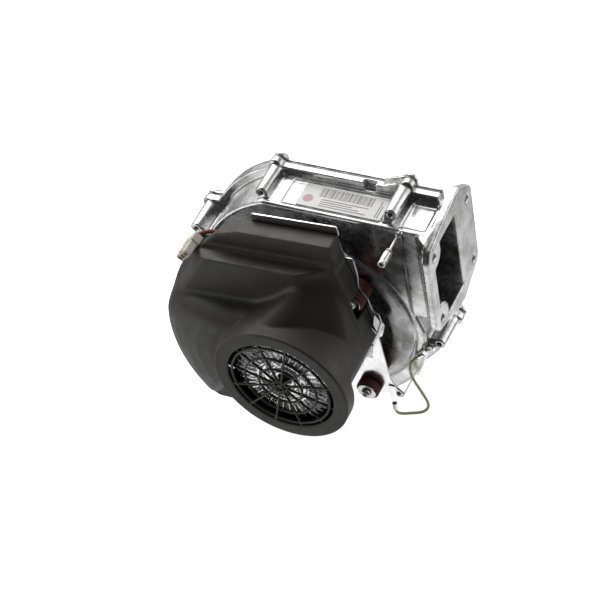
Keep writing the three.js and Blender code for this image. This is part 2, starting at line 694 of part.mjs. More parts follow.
function addElectronics() {
  const group = new THREE.Group();
  part.add(group);
  const boardY = -55;
  const outline = [[-225, -100], [-166, -112], [-166, -24], [-192, 8], [-214, -20]];
  const board = cut(prism("y", outline, boardY, boardY + 1.6),
    rod(MOUNTS[2].x, MOUNTS[2].z, 13, boardY - 1, boardY + 3, 20),
    rod(-208, -30, 5, boardY - 1, boardY + 3, 12));
  add(group, "circuit_board", BOARD, board);
  const face = boardY - GAP;
  add(group, "capacitor_1", BLUE_SLEEVE, rod(-186, -28, 8, face - 20, face, 20));
  add(group, "capacitor_2", BLUE_SLEEVE, rod(-206, -96, 8, face - 16, face, 20));
  add(group, "line_choke", COPPER, tube(9, 4, face - 8, face, 24, -178, -98));
  add(group, "power_module", NITRILE, box(-182, -171, face - 3, face, -70, -50));
}

const PLUG = { thick: 9, width: 15, frontY: -84, rearY: -58, distance: 129.8, direction: 135 };

// The white plug lies along the cover's upper left edge, its leads turning in behind the cover.
function addPlugAndLeads() {
  const group = new THREE.Group();
  part.add(group);
  const plug = new THREE.Group();
  const [x, z] = polar(PLUG.distance, PLUG.direction);
  plug.position.set(x, 0, z);
  plug.rotation.y = -THREE.MathUtils.degToRad(PLUG.direction);
  group.add(plug);
  const halfThick = PLUG.thick / 2;
  const halfWidth = PLUG.width / 2;
  const body = box(-halfThick + 1, halfThick - 1, PLUG.frontY, PLUG.rearY, -halfWidth, halfWidth);
  const head = box(-halfThick, halfThick, PLUG.rearY - 9, PLUG.rearY, -halfWidth - 0.8, halfWidth + 0.8);
  const latch = box(halfThick - 1.4, halfThick + 0.4, PLUG.frontY + 2, PLUG.rearY - 8, -2.5, 2.5);
  const bores = [3, -3].map((shift) => rod(0, shift, 1.9, PLUG.rearY - 3, PLUG.rearY + 1, 8));
  add(plug, "mains_plug", NYLON, cut(join(body, head, latch), ...bores));
  const start = PLUG.rearY - 2;
  const leads = [
    ["lead_green", GREEN, -3, [[-195, -52.6, 21], [-187.5, -56, 18.5], [-184.5, -58, 11]]],
    ["lead_brown", BROWN, 3, [[-190, -52.6, 29], [-180, -55.4, 24.5], [-177, -58, 13]]],
  ];
  for (const [name, material, shift, rest] of leads) {
    const angle = THREE.MathUtils.degToRad(PLUG.direction);
    const [leadX, leadZ] = [x + shift * Math.sin(angle), z - shift * Math.cos(angle)];
    const points = [[leadX, start, leadZ], [leadX, start + 4, leadZ], ...rest, [rest[2][0], -58, 5.3]];
    add(group, name, material, flexible(points, 1.4, 8, 14));
  }
  add(group, "lead_terminal", NYLON, box(-187.5, -173.5, -62, -55.3, -4, 5));
}

// The bonding wire's route from the plate's terminal down, round and back up to the earth lug.
const WIRE_ROUTE = [
  [-51.5, -48.9, -155.6], [-51.2, -48.8, -158.5], [-49.2, -48.4, -161.6], [-45.6, -47.2, -163.2],
  [-41.5, -45.4, -163.2], [-37, -43.4, -162.6], [-32.5, -41.2, -161.6], [-28.4, -39, -159.4],
  [-26.2, -37.2, -155.4], [-27, -36, -150.6], [-29.8, -35, -144.8], [-33.6, -34, -137.6],
  [-37, -33.6, -129.6], [-39, -33.4, -121.6], [-39.2, -33.2, -113.8], [-37.4, -32.6, -106.8],
  [-33.6, -32, -101.4], [-30.2, -31.8, -98],
];

function addBonding() {
  const group = new THREE.Group();
  part.add(group);
  const front = PLATE.frontY - GAP;
  const [wireX, wireY, wireZ] = WIRE_ROUTE[0];
  const tongue = box(wireX - 3.4, wireX + 3.1, front - 0.8, front, -147.5, -124.6);
  const barrel = new THREE.CylinderGeometry(2.3, 2.3, 8, 10).rotateX(Math.PI / 2);
  barrel.translate(wireX, wireY, wireZ + GAP + 4);
  const rivet = rod(-52, -128, 1.2, front - 0.5, PLATE.frontY + PLATE.thick + 1, 8);
  add(group, "plate_terminal", ZINC, join(tongue, solid(barrel), rivet));
  add(group, "bonding_wire", GREEN_YELLOW, flexible(WIRE_ROUTE, WIRE.radius, WIRE.sides, WIRE.steps));

  const seat = EARTH.frontY - GAP;
  const [endX, endY, endZ] = WIRE_ROUTE[WIRE_ROUTE.length - 1];
  const away = new THREE.Vector3(endX - EARTH.x, 0, endZ - EARTH.z);
  const reach = away.length() - GAP;
  const heading = -Math.atan2(away.z, away.x);
  const place = (geometry) => geometry.rotateY(heading).translate(EARTH.x, 0, EARTH.z);
  const ring = tube(4.4, 2.2, seat - 0.8, seat, 14, EARTH.x, EARTH.z);
  const step = wrap(
    place(block(3.4, 4.2, seat - 0.8, seat, -2.2, 2.2)),
    place(block(5.3, 6.2, endY - 0.4, endY + 0.4, -1.8, 1.8)),
  );
  const crimp = new THREE.CylinderGeometry(2.2, 2.2, reach - 5.6, 10).rotateZ(Math.PI / 2);
  crimp.translate((reach + 5.6) / 2, endY, 0);
  add(group, "lug_terminal", ZINC, join(ring, step, solid(place(crimp))));

  const headRear = seat - 0.8 - GAP;
  const recess = rod(EARTH.x, EARTH.z, 1.3, headRear - 5, headRear - 1.2, 6);
  const head = cut(rod(EARTH.x, EARTH.z, 2.9, headRear - 2.6, headRear), recess);
  const shank = rod(EARTH.x, EARTH.z, 1.6, headRear - 0.5, EARTH.frontY + 10, 8);
  add(group, "earth_screw", STEEL, join(head, shank));
}

function addSmallParts() {
  const group = new THREE.Group();
  part.add(group);
  const floor = CASTING.topZ - 1.2 + GAP;
  add(group, "rating_label", PAPER, box(-128, -52, -21, 4, floor, floor + 0.3));
  add(group, "pressure_tap", ZINC, join(
    cut(rod(TAP.x, TAP.z, TAP.radius, TAP.frontY, TAP.stemY, 12),
      rod(TAP.x, TAP.z, 1.5, TAP.frontY - 1, TAP.frontY + 9, 8)),
    rod(TAP.x, TAP.z, TAP.stem, TAP.stemY - 1, CASTING.frontY + 2, 8)));
}

addHousing();
addMotorMounting();
addMotor();
addElectronics();
addPlugAndLeads();
addBonding();
addSmallParts();

export default part;
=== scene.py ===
import math
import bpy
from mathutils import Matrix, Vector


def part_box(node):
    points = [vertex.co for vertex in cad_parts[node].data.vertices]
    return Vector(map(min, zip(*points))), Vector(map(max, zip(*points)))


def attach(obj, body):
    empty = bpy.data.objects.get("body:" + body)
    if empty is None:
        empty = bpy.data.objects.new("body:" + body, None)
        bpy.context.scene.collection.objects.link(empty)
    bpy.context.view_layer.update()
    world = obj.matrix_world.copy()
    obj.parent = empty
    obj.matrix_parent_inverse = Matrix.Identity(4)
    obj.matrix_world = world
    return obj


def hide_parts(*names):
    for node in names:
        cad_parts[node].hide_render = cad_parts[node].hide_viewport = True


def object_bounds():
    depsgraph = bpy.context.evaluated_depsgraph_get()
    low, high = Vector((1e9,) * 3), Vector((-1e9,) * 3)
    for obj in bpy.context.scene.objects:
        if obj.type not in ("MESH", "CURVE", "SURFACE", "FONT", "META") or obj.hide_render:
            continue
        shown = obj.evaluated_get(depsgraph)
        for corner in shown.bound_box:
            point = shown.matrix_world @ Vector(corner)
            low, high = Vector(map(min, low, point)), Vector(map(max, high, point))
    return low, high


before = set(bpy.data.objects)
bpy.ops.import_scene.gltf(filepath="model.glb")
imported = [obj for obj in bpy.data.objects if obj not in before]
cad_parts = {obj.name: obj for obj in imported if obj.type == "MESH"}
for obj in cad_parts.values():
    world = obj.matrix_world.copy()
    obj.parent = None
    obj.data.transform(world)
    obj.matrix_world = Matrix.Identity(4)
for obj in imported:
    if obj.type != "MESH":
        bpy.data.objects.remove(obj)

from types import SimpleNamespace as Sizes

import bmesh
import bpy
import numpy as np
from mathutils import Matrix, Vector

cad_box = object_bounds()

# The shapes below are worked out in millimetres, and every mesh is made in metres. The frame's
# origin is the middle of the outlet flange's face: +X out of the outlet, +Y inlet side, +Z up.
MM = 0.001
GAP = 0.3


def span(node):
    """A CAD node's lowest and highest corners, in millimetres."""
    low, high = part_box(node)
    return [value / MM for value in low], [value / MM for value in high]


def centre(node):
    """A CAD node's middle in XZ."""
    low, high = span(node)
    return (low[0] + high[0]) / 2, (low[2] + high[2]) / 2


AXIS_X, AXIS_Z = centre("shaft")
CASTING_FRONT = -28.0
CASTING_WALL = 3.5
SPLIT = span("housing_seal")[0][1]
COVER_FRONT = span("motor_cover")[0][1]
PLATE_FRONT = span("motor_plate")[0][1]
PLATE_REAR = span("motor_plate")[1][1]


def polar(radius, degrees):
    angle = math.radians(degrees)
    return AXIS_X + radius * math.cos(angle), AXIS_Z + radius * math.sin(angle)


def arc(radius, start, end, count):
    return [polar(radius, start + (end - start) * i / count) for i in range(count + 1)]


# ---- shapes as signed distances ----


class Space:
    """A block of space sampled at even steps. Shapes in it are arrays of distances, negative inside."""

    def __init__(self, low, high, step):
        self.step = step
        self.low = np.array(low, dtype=float) - 2 * step
        count = np.ceil((np.array(high) + 2 * step - self.low) / step).astype(int) + 1
        axes = [(self.low[i] + step * np.arange(count[i])).astype(np.float32) for i in range(3)]
        self.x = axes[0][:, None, None]
        self.y = axes[1][None, :, None]
        self.z = axes[2][None, None, :]

    def slab(self, axis, low, high):
        values = {"x": self.x, "y": self.y, "z": self.z}[axis]
        return np.maximum(low - values, values - high)

    def box(self, low, high, rounding=0.0):
        """A box with rounded edges."""
        gaps = [self.slab(axis, low[i] + rounding, high[i] - rounding) for i, axis in enumerate("xyz")]
        outside = np.sqrt(sum(np.maximum(gap, 0) ** 2 for gap in gaps))
        inside = np.minimum(np.maximum(np.maximum(gaps[0], gaps[1]), gaps[2]), 0)
        return outside + inside - rounding

    def radius(self, x, z):
        return np.sqrt((self.x - x) ** 2 + (self.z - z) ** 2)

    def from_axis(self):
        return self.radius(AXIS_X, AXIS_Z)

    def outline(self, points):
        """Distance in XZ from a closed polygon, the same at every y."""
        return polygon(self.x, self.z, points)

    def along_y(self, flat, low, high, rounding=0.0):
        """The shape of a flat outline between two values of y, its end edges rounded."""
        return extruded(flat, self.slab("y", low, high), rounding)

    def rod(self, x, z, radius, low, high, rounding=0.0):
        """A round rod along Y."""
        return self.along_y(self.radius(x, z) - radius, low, high, rounding)

    def turned(self, profile):
        """A body of revolution about the fan axis, from a closed profile of (radius, y)."""
        return polygon(self.from_axis(), self.y, profile)


def extruded(flat, ends, rounding):
    a, b = flat + rounding, ends + rounding
    outside = np.sqrt(np.maximum(a, 0) ** 2 + np.maximum(b, 0) ** 2)
    return outside + np.minimum(np.maximum(a, b), 0) - rounding


def polygon(u, v, points):
    """Signed distance from a closed polygon in the plane of u and v."""
    shape = np.broadcast(u, v).shape
    nearest = np.full(shape, 1e9, dtype=np.float32)
    inside = np.zeros(shape, dtype=bool)
    for (u0, v0), (u1, v1) in zip(points, points[1:] + points[:1]):
        du, dv = u1 - u0, v1 - v0
        length = du * du + dv * dv
        if length < 1e-9:
            continue
        share = np.clip(((u - u0) * du + (v - v0) * dv) / length, 0, 1)
        nearest = np.minimum(nearest, (u - u0 - share * du) ** 2 + (v - v0 - share * dv) ** 2)
        if abs(dv) > 1e-9:
            crosses = ((v0 <= v) != (v1 <= v)) & (u < u0 + (v - v0) * du / dv)
            inside ^= np.broadcast_to(crosses, shape)
    nearest = np.sqrt(nearest)
    return np.where(inside, -nearest, nearest).astype(np.float32)


def blend(a, b, k):
    """Joins two shapes, with a fillet about k wide in the corner between them."""
    h = np.maximum(k - np.abs(a - b), 0) / k
    return np.minimum(a, b) - h * h * k / 4


def carve(a, b, k=0.0):
    """Takes b out of a, rounding the edge that leaves by about k."""
    if k == 0:
        return np.maximum(a, -b)
    h = np.maximum(k - np.abs(a + b), 0) / k
    return np.maximum(a, -b) + h * h * k / 4


def within(a, b, k=0.0):
    return carve(a, -b, k)


def skin(space, distance):
    """Vertices and quads of the surface where the distance is zero."""
    inside = distance < 0
    cells = np.array(distance.shape) - 1
    corners = [(i, j, k) for i in (0, 1) for j in (0, 1) for k in (0, 1)]
    count = np.zeros(cells, dtype=np.int8)
    for i, j, k in corners:
        count += inside[i:i + cells[0], j:j + cells[1], k:k + cells[2]]
    active = (count > 0) & (count < 8)
    places = np.argwhere(active)
    index = np.full(active.shape, -1, dtype=np.int32)
    index[active] = np.arange(len(places))
    value = {c: distance[tuple((places + c).T)] for c in corners}
    total = np.zeros((len(places), 3))
    hits = np.zeros(len(places))
    for start in corners:
        for axis in range(3):
            if start[axis]:
                continue
            end = tuple(1 if i == axis else start[i] for i in range(3))
            crossing = (value[start] < 0) != (value[end] < 0)
            drop = np.where(crossing, value[start] - value[end], 1)
            point = np.tile(np.array(start, dtype=float), (len(places), 1))
            point[:, axis] += value[start] / drop
            total[crossing] += point[crossing]
            hits += crossing
    vertices = space.low + space.step * (places + total / hits[:, None])
    faces = []
    for axis, (u, v) in enumerate(((1, 2), (2, 0), (0, 1))):
        near = [slice(1, -1)] * 3
        far = [slice(1, -1)] * 3
        near[axis], far[axis] = slice(0, -1), slice(1, None)
        first, second = inside[tuple(near)], inside[tuple(far)]
        edges = np.argwhere(first != second)
        outward = first[tuple(edges.T)]
        edges[:, u] += 1
        edges[:, v] += 1
        ring = []
        for back_u, back_v in ((0, 0), (1, 0), (1, 1), (0, 1)):
            cell = edges.copy()
            cell[:, u] -= back_u
            cell[:, v] -= back_v
            ring.append(index[tuple(cell.T)])
        quads = np.stack(ring, axis=1)
        quads[~outward] = quads[~outward][:, ::-1]
        faces.append(quads)
    return vertices, np.concatenate(faces)


# ---- pieces ----


def add_object(name, data):
    item = bpy.data.objects.new(name, data)
    bpy.context.scene.collection.objects.link(item)
    return item


def place(name, mesh, material, body, stands_for=()):
    """A visible piece on a body, which can take the place of CAD nodes."""
    piece = add_object(name, mesh)
    piece.data.materials.append(material)
    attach(piece, body)
    if stands_for:
        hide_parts(*stands_for)
    return piece


def moulded(name, space, distance, material, stands_for=(), body="root", smoothing=2):
    """A piece whose surface is a distance's zero, lightly smoothed."""
    vertices, faces = skin(space, distance)
    mesh = bpy.data.meshes.new(name)
    mesh.from_pydata(vertices * MM, [], faces)
    mesh.polygons.foreach_set("use_smooth", np.ones(len(faces), dtype=bool))
    piece = place(name, mesh, material, body, stands_for)
    smooth = piece.modifiers.new("even", "SMOOTH")
    smooth.factor = 0.5
    smooth.iterations = smoothing
    return piece


# ---- camera and light ----

# Angles in degrees. The middle of the view is aim_right and aim_up from the origin.
CAMERA = Sizes(
    azimuth=34.3, elevation=45.5, roll=-12.8, distance=1400.0, aim_right=-126.5, aim_up=-34.15,
    sensor=36.0, focal=102.72)


def add_camera():
    azimuth = math.radians(CAMERA.azimuth)
    elevation = math.radians(CAMERA.elevation)
    roll = math.radians(CAMERA.roll)
    back = Vector((
        math.sin(azimuth) * math.cos(elevation),
        -math.cos(azimuth) * math.cos(elevation),
        math.sin(elevation)))
    level = Vector((math.cos(azimuth), math.sin(azimuth), 0))
    rise = back.cross(level)
    right = level * math.cos(roll) + rise * math.sin(roll)
    up = rise * math.cos(roll) - level * math.sin(roll)
    data = bpy.data.cameras.new("camera")
    data.sensor_width = CAMERA.sensor
    data.lens = CAMERA.focal
    data.clip_start = 0.01
    camera = add_object("camera", data)
    target = right * CAMERA.aim_right + up * CAMERA.aim_up
    turn = Matrix((right, up, back)).transposed()
    camera.matrix_world = Matrix.Translation((target + back * CAMERA.distance) * MM) @ turn.to_4x4()
    bpy.context.scene.camera = camera


# Each light is its place in metres, its width and height in metres, and its watts.
LIGHTS = {
    "key": ((-1.2, 0.6, 1.0), (1.0, 0.8), 10),
    "overhead": ((-0.55, 0.9, 1.2), (1.2, 1.2), 7.5),
    "right": ((1.1, 0.5, 0.3), (1.2, 1.2), 4),
    "front_left": ((-1.2, -0.9, -0.1), (1.2, 1.2), 6),
}
LIGHT_AIM = Vector((-0.1, 0, 0))


def add_lights():
    for name, (location, size, power) in LIGHTS.items():
        data = bpy.data.lights.new(name, "AREA")
        data.shape = "RECTANGLE"
        data.size, data.size_y = size
        data.energy = power
        light = add_object(name, data)
        light.location = location
        light.rotation_euler = (LIGHT_AIM - Vector(location)).to_track_quat("-Z", "Y").to_euler()
        light.visible_camera = False


FLOOR_HALF = 6.0


def add_floor():
    """A large white floor under the object's lowest point. The world below lights the object instead."""
    half, depth = FLOOR_HALF, cad_box[0][2]
    mesh = bpy.data.meshes.new("floor")
    mesh.from_pydata(
        [(-half, -half, depth), (half, -half, depth), (half, half, depth), (-half, half, depth)],
        [], [(0, 1, 2, 3)])
    floor = add_object("floor", mesh)
    material = bpy.data.materials.new("pale_floor")
    material.use_nodes = True
    shader = material.node_tree.nodes["Principled BSDF"]
    shader.inputs["Base Color"].default_value = (0.9, 0.9, 0.9, 1)
    shader.inputs["Roughness"].default_value = 0.9
    shader.inputs["Emission Color"].default_value = (1, 1, 1, 1)
    shader.inputs["Emission Strength"].default_value = 0.9
    mesh.materials.append(material)
    floor.visible_diffuse = False
    floor.visible_glossy = False
    floor.visible_shadow = False


def add_node(tree, kind, inputs, **settings):
    """A shader node's outputs. Each input is a value to set or another node's output to link."""
    node = tree.nodes.new("ShaderNode" + kind)
    for name, value in settings.items():
        setattr(node, name, value)
    for name, value in inputs.items():
        if isinstance(value, bpy.types.NodeSocket):
            tree.links.new(value, node.inputs[name])
        else:
            node.inputs[name].default_value = value
    return node.outputs


def map_range(tree, value, limits, **settings):
    """A value stretched between limits: its start and end, then the low and high they become."""
    names = ("From Min", "From Max", "To Min", "To Max")
    return add_node(tree, "MapRange", {**dict(zip(names, limits)), "Value": value}, **settings)[0]


# Each line is start, end, low, high: how far along +Y or +Z a direction points, or the noise's value,
# and the brightness at either end.
SWEEP = Sizes(
    behind=(-0.5, 0.8, 0.04, 0.75),
    below=(-0.42, -0.7, 0.0, 0.9),
    patches=(0.36, 0.6, 0.45, 1.25),
)
PATCH_SCALE = 2.6


def add_world():
    """A white sweep below and behind the object and a dark room in front of it. It is patchy, so that
    bright metal has something to reflect."""
    world = bpy.data.worlds.new("studio")
    bpy.context.scene.world = world
    world.use_nodes = True
    tree = world.node_tree
    direction = add_node(tree, "TexCoord", {})["Generated"]
    along = add_node(tree, "SeparateXYZ", {0: direction})
    patches = add_node(tree, "TexNoise", {"Vector": direction, "Scale": PATCH_SCALE, "Detail": 1})["Fac"]
    behind = map_range(tree, along["Y"], SWEEP.behind, interpolation_type="SMOOTHSTEP")
    below = map_range(tree, along["Z"], SWEEP.below, interpolation_type="SMOOTHSTEP")
    strength = map_range(tree, patches, SWEEP.patches, interpolation_type="SMOOTHSTEP")
    brighter = add_node(tree, "Math", {0: behind, 1: below}, operation="MAXIMUM")[0]
    tree.links.new(brighter, tree.nodes["Background"].inputs["Color"])
    tree.links.new(strength, tree.nodes["Background"].inputs["Strength"])


# ---- materials ----


class Finish:
    """A procedural material built round one Principled shader, in object space."""

    def __init__(self, name, colour, roughness, metallic=0.0):
        self.material = bpy.data.materials.new(name)
        self.material.use_nodes = True
        self.tree = self.material.node_tree
        self.shader = self.tree.nodes["Principled BSDF"]
        self.shader.inputs["Base Color"].default_value = (*colour, 1)
        self.shader.inputs["Roughness"].default_value = roughness
        self.shader.inputs["Metallic"].default_value = metallic
        self.coordinates = add_node(self.tree, "TexCoord", {})["Object"]
        self.relief = {}

    def noise(self, scale_mm, detail=3.0, rough=0.55, stretch=(1, 1, 1), distortion=0.0):
        """Noise whose patches are about scale_mm across."""
        mapped = add_node(self.tree, "Mapping", {"Vector": self.coordinates, "Scale": stretch})[0]
        return add_node(self.tree, "TexNoise", {
            "Vector": mapped, "Scale": 1 / (scale_mm * MM), "Detail": detail, "Roughness": rough,
            "Distortion": distortion})["Fac"]

    def spread(self, value, low, high, start=0.3, end=0.7):
        """A value stretched from start..end to low..high."""
        return map_range(self.tree, value, (start, end, low, high))

    def colours(self, value, stops):
        ramp = self.tree.nodes.new("ShaderNodeValToRGB")
        elements = ramp.color_ramp.elements
        while len(elements) < len(stops):
            elements.new(0.5)
        for element, (position, colour) in zip(elements, stops):
            element.position = position
            element.color = (*colour, 1)
        self.tree.links.new(value, ramp.inputs["Fac"])
        return ramp.outputs["Color"]

    def times(self, first, second):
        return add_node(
            self.tree, "Mix", {"Factor": 1, "A": first, "B": second}, data_type="RGBA",
            blend_type="MULTIPLY")["Result"]

    def painted_crease_shade(self, stops):
        """Grey levels by how sharply the surface bends: painted shade in hollows and creases, a little
        lighter on outward edges.
        """
        return self.colours(add_node(self.tree, "NewGeometry", {})["Pointiness"], stops)

    def from_axis(self, start, end):
        """0 to 1 across two distances, in millimetres, from the fan axis."""
        offset = (-AXIS_X * MM, 0, -AXIS_Z * MM)
        moved = add_node(self.tree, "VectorMath", {0: self.coordinates, 1: offset})["Vector"]
        flat = add_node(self.tree, "VectorMath", {0: moved, 1: (1, 0, 1)}, operation="MULTIPLY")["Vector"]
        length = add_node(self.tree, "VectorMath", {0: flat}, operation="LENGTH")["Value"]
        return self.spread(length, 0, 1, start * MM, end * MM)

    def colour(self, output):
        self.tree.links.new(output, self.shader.inputs["Base Color"])

    def rough(self, output):
        self.tree.links.new(output, self.shader.inputs["Roughness"])

    def bump(self, output, height_mm, strength=1.0):
        """Relief on top of the relief that the finish already has."""
        inputs = {"Strength": strength, "Distance": height_mm * MM, "Height": output, **self.relief}
        self.relief = {"Normal": add_node(self.tree, "Bump", inputs)["Normal"]}
        self.tree.links.new(self.relief["Normal"], self.shader.inputs["Normal"])


def grey(level, tint=(1, 1, 1)):
    return tuple(level * part for part in tint)


# The casting is darker within these distances of the fan axis, round the edge of the motor plate. That
# stands for the plate's shade and its dull reflection on the metal, not for a stain that is really there.
PLATE_SHADE = (69, 88)


def cast_metal(name, light=0.68, dark=0.47, shade=0.0):
    """Die-cast aluminium with cloudy flow marks, a fine skin, small pits and painted shade in its creases,
    darkened near the fan axis as painted shade and reflection of the plate.
    """
    finish = Finish(name, grey(light), 0.4, 1.0)
    clouds = finish.noise(20, detail=6, rough=0.66, distortion=0.25)
    levels = [(0.36, grey(dark, (1, 0.995, 0.98))), (0.5, grey(light)), (0.66, grey(0.86))]
    # Painted shade in the creases: hollows darken to half grey, outward edges are a little lighter.
    crease_shade = finish.painted_crease_shade([(0.44, grey(0.5)), (0.5, grey(0.97)), (0.56, grey(1))])
    colour = finish.times(finish.colours(clouds, levels), crease_shade)
    if shade:
        # Painted shade and painted reflection of the plate: darker near the fan axis.
        near = finish.from_axis(*PLATE_SHADE)
        colour = finish.times(colour, finish.colours(near, [(0, grey(1 - shade)), (1, grey(1))]))
    finish.colour(colour)
    finish.rough(finish.spread(finish.noise(9, detail=4), 0.16, 0.34))
    finish.bump(finish.noise(1.1, detail=2), 0.05, 0.5)
    finish.bump(finish.noise(9, detail=3), 0.3, 0.4)
    return finish.material


def coated(name, shades, gloss, grain, metallic=0.0):
    """A finish that varies a little all over. Each group starts with its noise's settings: shades goes on
    with a darker and a lighter colour, gloss with two roughnesses, grain with a height and a strength."""
    finish = Finish(name, shades[2], gloss[1], metallic)
    finish.colour(finish.colours(finish.noise(*shades[0]), [(0.3, shades[1]), (0.7, shades[2])]))
    finish.rough(finish.spread(finish.noise(*gloss[0]), *gloss[1:]))
    finish.bump(finish.noise(*grain[0]), *grain[1:])
    return finish.material


def black_plastic(name):
    """Moulded black nylon with a fine satin grain."""
    shades = ((35, 4, 0.6), grey(0.036, (1, 0.89, 0.84)), grey(0.047, (1, 0.9, 0.85)))
    material = coated(name, shades, ((12,), 0.48, 0.6), ((0.55, 2, 0.6), 0.04, 0.6))
    material.node_tree.nodes["Principled BSDF"].inputs["Specular IOR Level"].default_value = 0.6
    return material


def zinc(name):
    """Bright zinc on sheet steel, faintly brushed along Z."""
    gloss, grain = (3, 3, 0.55, (1, 1, 0.4)), (0.8, 2, 0.55, (1, 1, 0.3))
    return coated(name, ((14, 4), grey(0.78), grey(0.93)), (gloss, 0.12, 0.24), (grain, 0.006, 0.4), 1.0)


def steel(name, level=0.7, roughness=(0.22, 0.36)):
    shades = ((5, 3), grey(level * 0.85), grey(level * 1.1))
    return coated(name, shades, ((3,), *roughness), ((1.2, 1), 0.008, 0.4), 1.0)


def rubber(name, colour, patch=6):
    shades = ((patch, 3), tuple(part * 0.75 for part in colour), colour)
    return coated(name, shades, ((3,), 0.55, 0.78), ((0.6, 2), 0.04, 0.5))


def plastic(name, colour, roughness=(0.35, 0.5), variation=0.88, patch=8):
    shades = ((patch, 2), tuple(part * variation for part in colour), colour)
    return coated(name, shades, ((2,), *roughness), ((0.7, 1), 0.02, 0.4))


CAST = cast_metal("cast_aluminium", shade=0.55)
ALUMINIUM = cast_metal("impeller_aluminium", 0.72, 0.5)
PLASTIC = black_plastic("black_plastic")
ZINC = zinc("zinc_plate")
STEEL = steel("steel")
ROTOR_STEEL = steel("rotor_steel", 0.3, (0.35, 0.5))
WHEEL = steel("wheel_aluminium", 0.85, (0.12, 0.2))
LAMINATIONS = steel("electrical_steel", 0.25, (0.4, 0.6))
RUBBER = rubber("mount_rubber", (0.19, 0.058, 0.046))
BLACK_RUBBER = rubber("nitrile", (0.018, 0.018, 0.018))
GASKET = rubber("gasket", (0.07, 0.075, 0.08), 4)
MAGNET = rubber("magnet", (0.045, 0.045, 0.048))
COPPER = plastic("copper", (0.55, 0.2, 0.07), (0.25, 0.4), 0.7, 3)
BOARD = plastic("circuit_board", (0.03, 0.16, 0.06), (0.3, 0.45), 0.8, 5)
SLEEVE = plastic("capacitor_sleeve", (0.03, 0.045, 0.1))
NYLON = plastic("nylon", (0.8, 0.74, 0.64))
PAPER = plastic("label_paper", (0.95, 0.94, 0.93), (0.35, 0.5), 0.96, 12)
PRINT = plastic("label_ink", (0.3, 0.29, 0.3), (0.5, 0.6), 0.8, 3)
MARK = plastic("label_mark", (0.8, 0.5, 0.54), (0.5, 0.6), 0.8, 3)
GREEN_YELLOW = plastic("wire_jacket", (0.82, 0.86, 0.52), (0.3, 0.45), 0.82, 10)
GREEN = plastic("green_lead", (0.012, 0.25, 0.13), (0.3, 0.45), 0.8, 10)
BROWN = plastic("dark_red_lead", (0.2, 0.012, 0.014), (0.3, 0.45), 0.8, 10)


# ---- motor cover ----

COVER = Sizes(
    wall=2.2, rear=PLATE_FRONT - GAP, radius=125.0, rim=62.0, opening=48.8, corner_x=-76.0, tilt=0.06,
    top=52.4, step_1=-65.0, step_2=-80.0, step_2_top=30.0, lip=4.6, notch=-104.0)
# Two stretches of the cover's outline, and its notch over the lower mount, in XZ.
COVER_BOTTOM = [
    (-237, -100), (-234.5, -119), (-228, -142), (-221, -154), (-213, -159.5), (-185, -159.5), (-150, -146),
]
COVER_RIGHT = [(-61, -45), (-66, -9), (-74, 24)]
COVER_NOTCH = [(-52, -49.3), (-101.5, -158), (-101.5, -190), (20, -190), (20, -49.3)]
LEAD_WINDOW = ((-214, -56.5, 12), (-179, -40, 46))
MOUNT_POCKET = 12.0
# The right shoulder's front: its upper corners in XYZ, and its crease round the boss, each point of it
# a direction in degrees and a depth.
SHOULDER_CORNERS = [(-136, -80, -10), (-105, -77, 18.5), (-79, -66, 23), (-66, -80, -15)]
SHOULDER_CREASE = [(-8, -84), (23.5, -88), (42, -92.5), (61, -99), (76, -107), (89, -111.5), (110, -109)]
SHOULDER_FRONT = -110.0
# The left shoulder's section, as (radius, y).
DOME_PROFILE = [
    (0, 20), (126, 20), (126, -78), (124, -84), (118, -90.5), (110, -96), (98, -101.5), (84, -106.5),
    (70, -110), (60, -111), (0, -111),
]
MOUNT_PLACES = [centre(f"mount_sleeve_{i}") for i in (1, 2, 3)]


def ledge(height, x):
    """Height of a ledge at x: the motor unit sits turned a few degrees on its rubber mounts."""
    return height + COVER.tilt * (x - COVER.corner_x)


def cover_outline():
    top = COVER.top
    return [
        *arc(COVER.radius, 128, 184, 12), *COVER_BOTTOM, *arc(COVER.rim - 1, -90, 0, 10), *COVER_RIGHT,
        (COVER.corner_x, top), (-162, ledge(top, -162)), (-182, 40),
    ]


def hull_planes(points):
    """The flat faces of the convex solid round some points, as (normal, offset) pairs."""
    shell = bmesh.new()
    for point in points:
        shell.verts.new(point)
    bmesh.ops.convex_hull(shell, input=shell.verts)
    shell.normal_update()
    planes = {}
    for face in shell.faces:
        normal = face.normal
        key = (*(round(part, 2) for part in normal), round(normal.dot(face.verts[0].co), 0))
        planes[key] = (tuple(normal), normal.dot(face.verts[0].co))
    shell.free()
    return list(planes.values())


def convex(space, planes, rounding):
    result = None
    for (nx, ny, nz), offset in planes:
        side = space.x * nx + space.y * ny + space.z * nz - offset
        result = side if result is None else within(result, side, rounding)
    return result


def cover_slant(space):
    """The shoulder at the right, which falls from the ledge to the boss."""
    front = list(SHOULDER_CORNERS)
    for direction, depth in SHOULDER_CREASE:
        x, z = polar(COVER.rim, direction)
        front.append((x, depth, z))
    front.append((AXIS_X, SHOULDER_FRONT, AXIS_Z))
    back = [(x, 0, z) for x, _, z in front]
    return convex(space, hull_planes(front + back), 7.0)


def cover_dome(space):
    """The rounded shoulder at the left: a shallow cone under a level shelf."""
    cone = space.turned(DOME_PROFILE)
    shelf = space.z + 16 - 0.1 * (space.x + 149) - 0.15 * (space.y + 80)
    inner = space.x + 128 - 0.6 * (space.z + 16)
    return within(within(cone, shelf, 20), inner, 14)


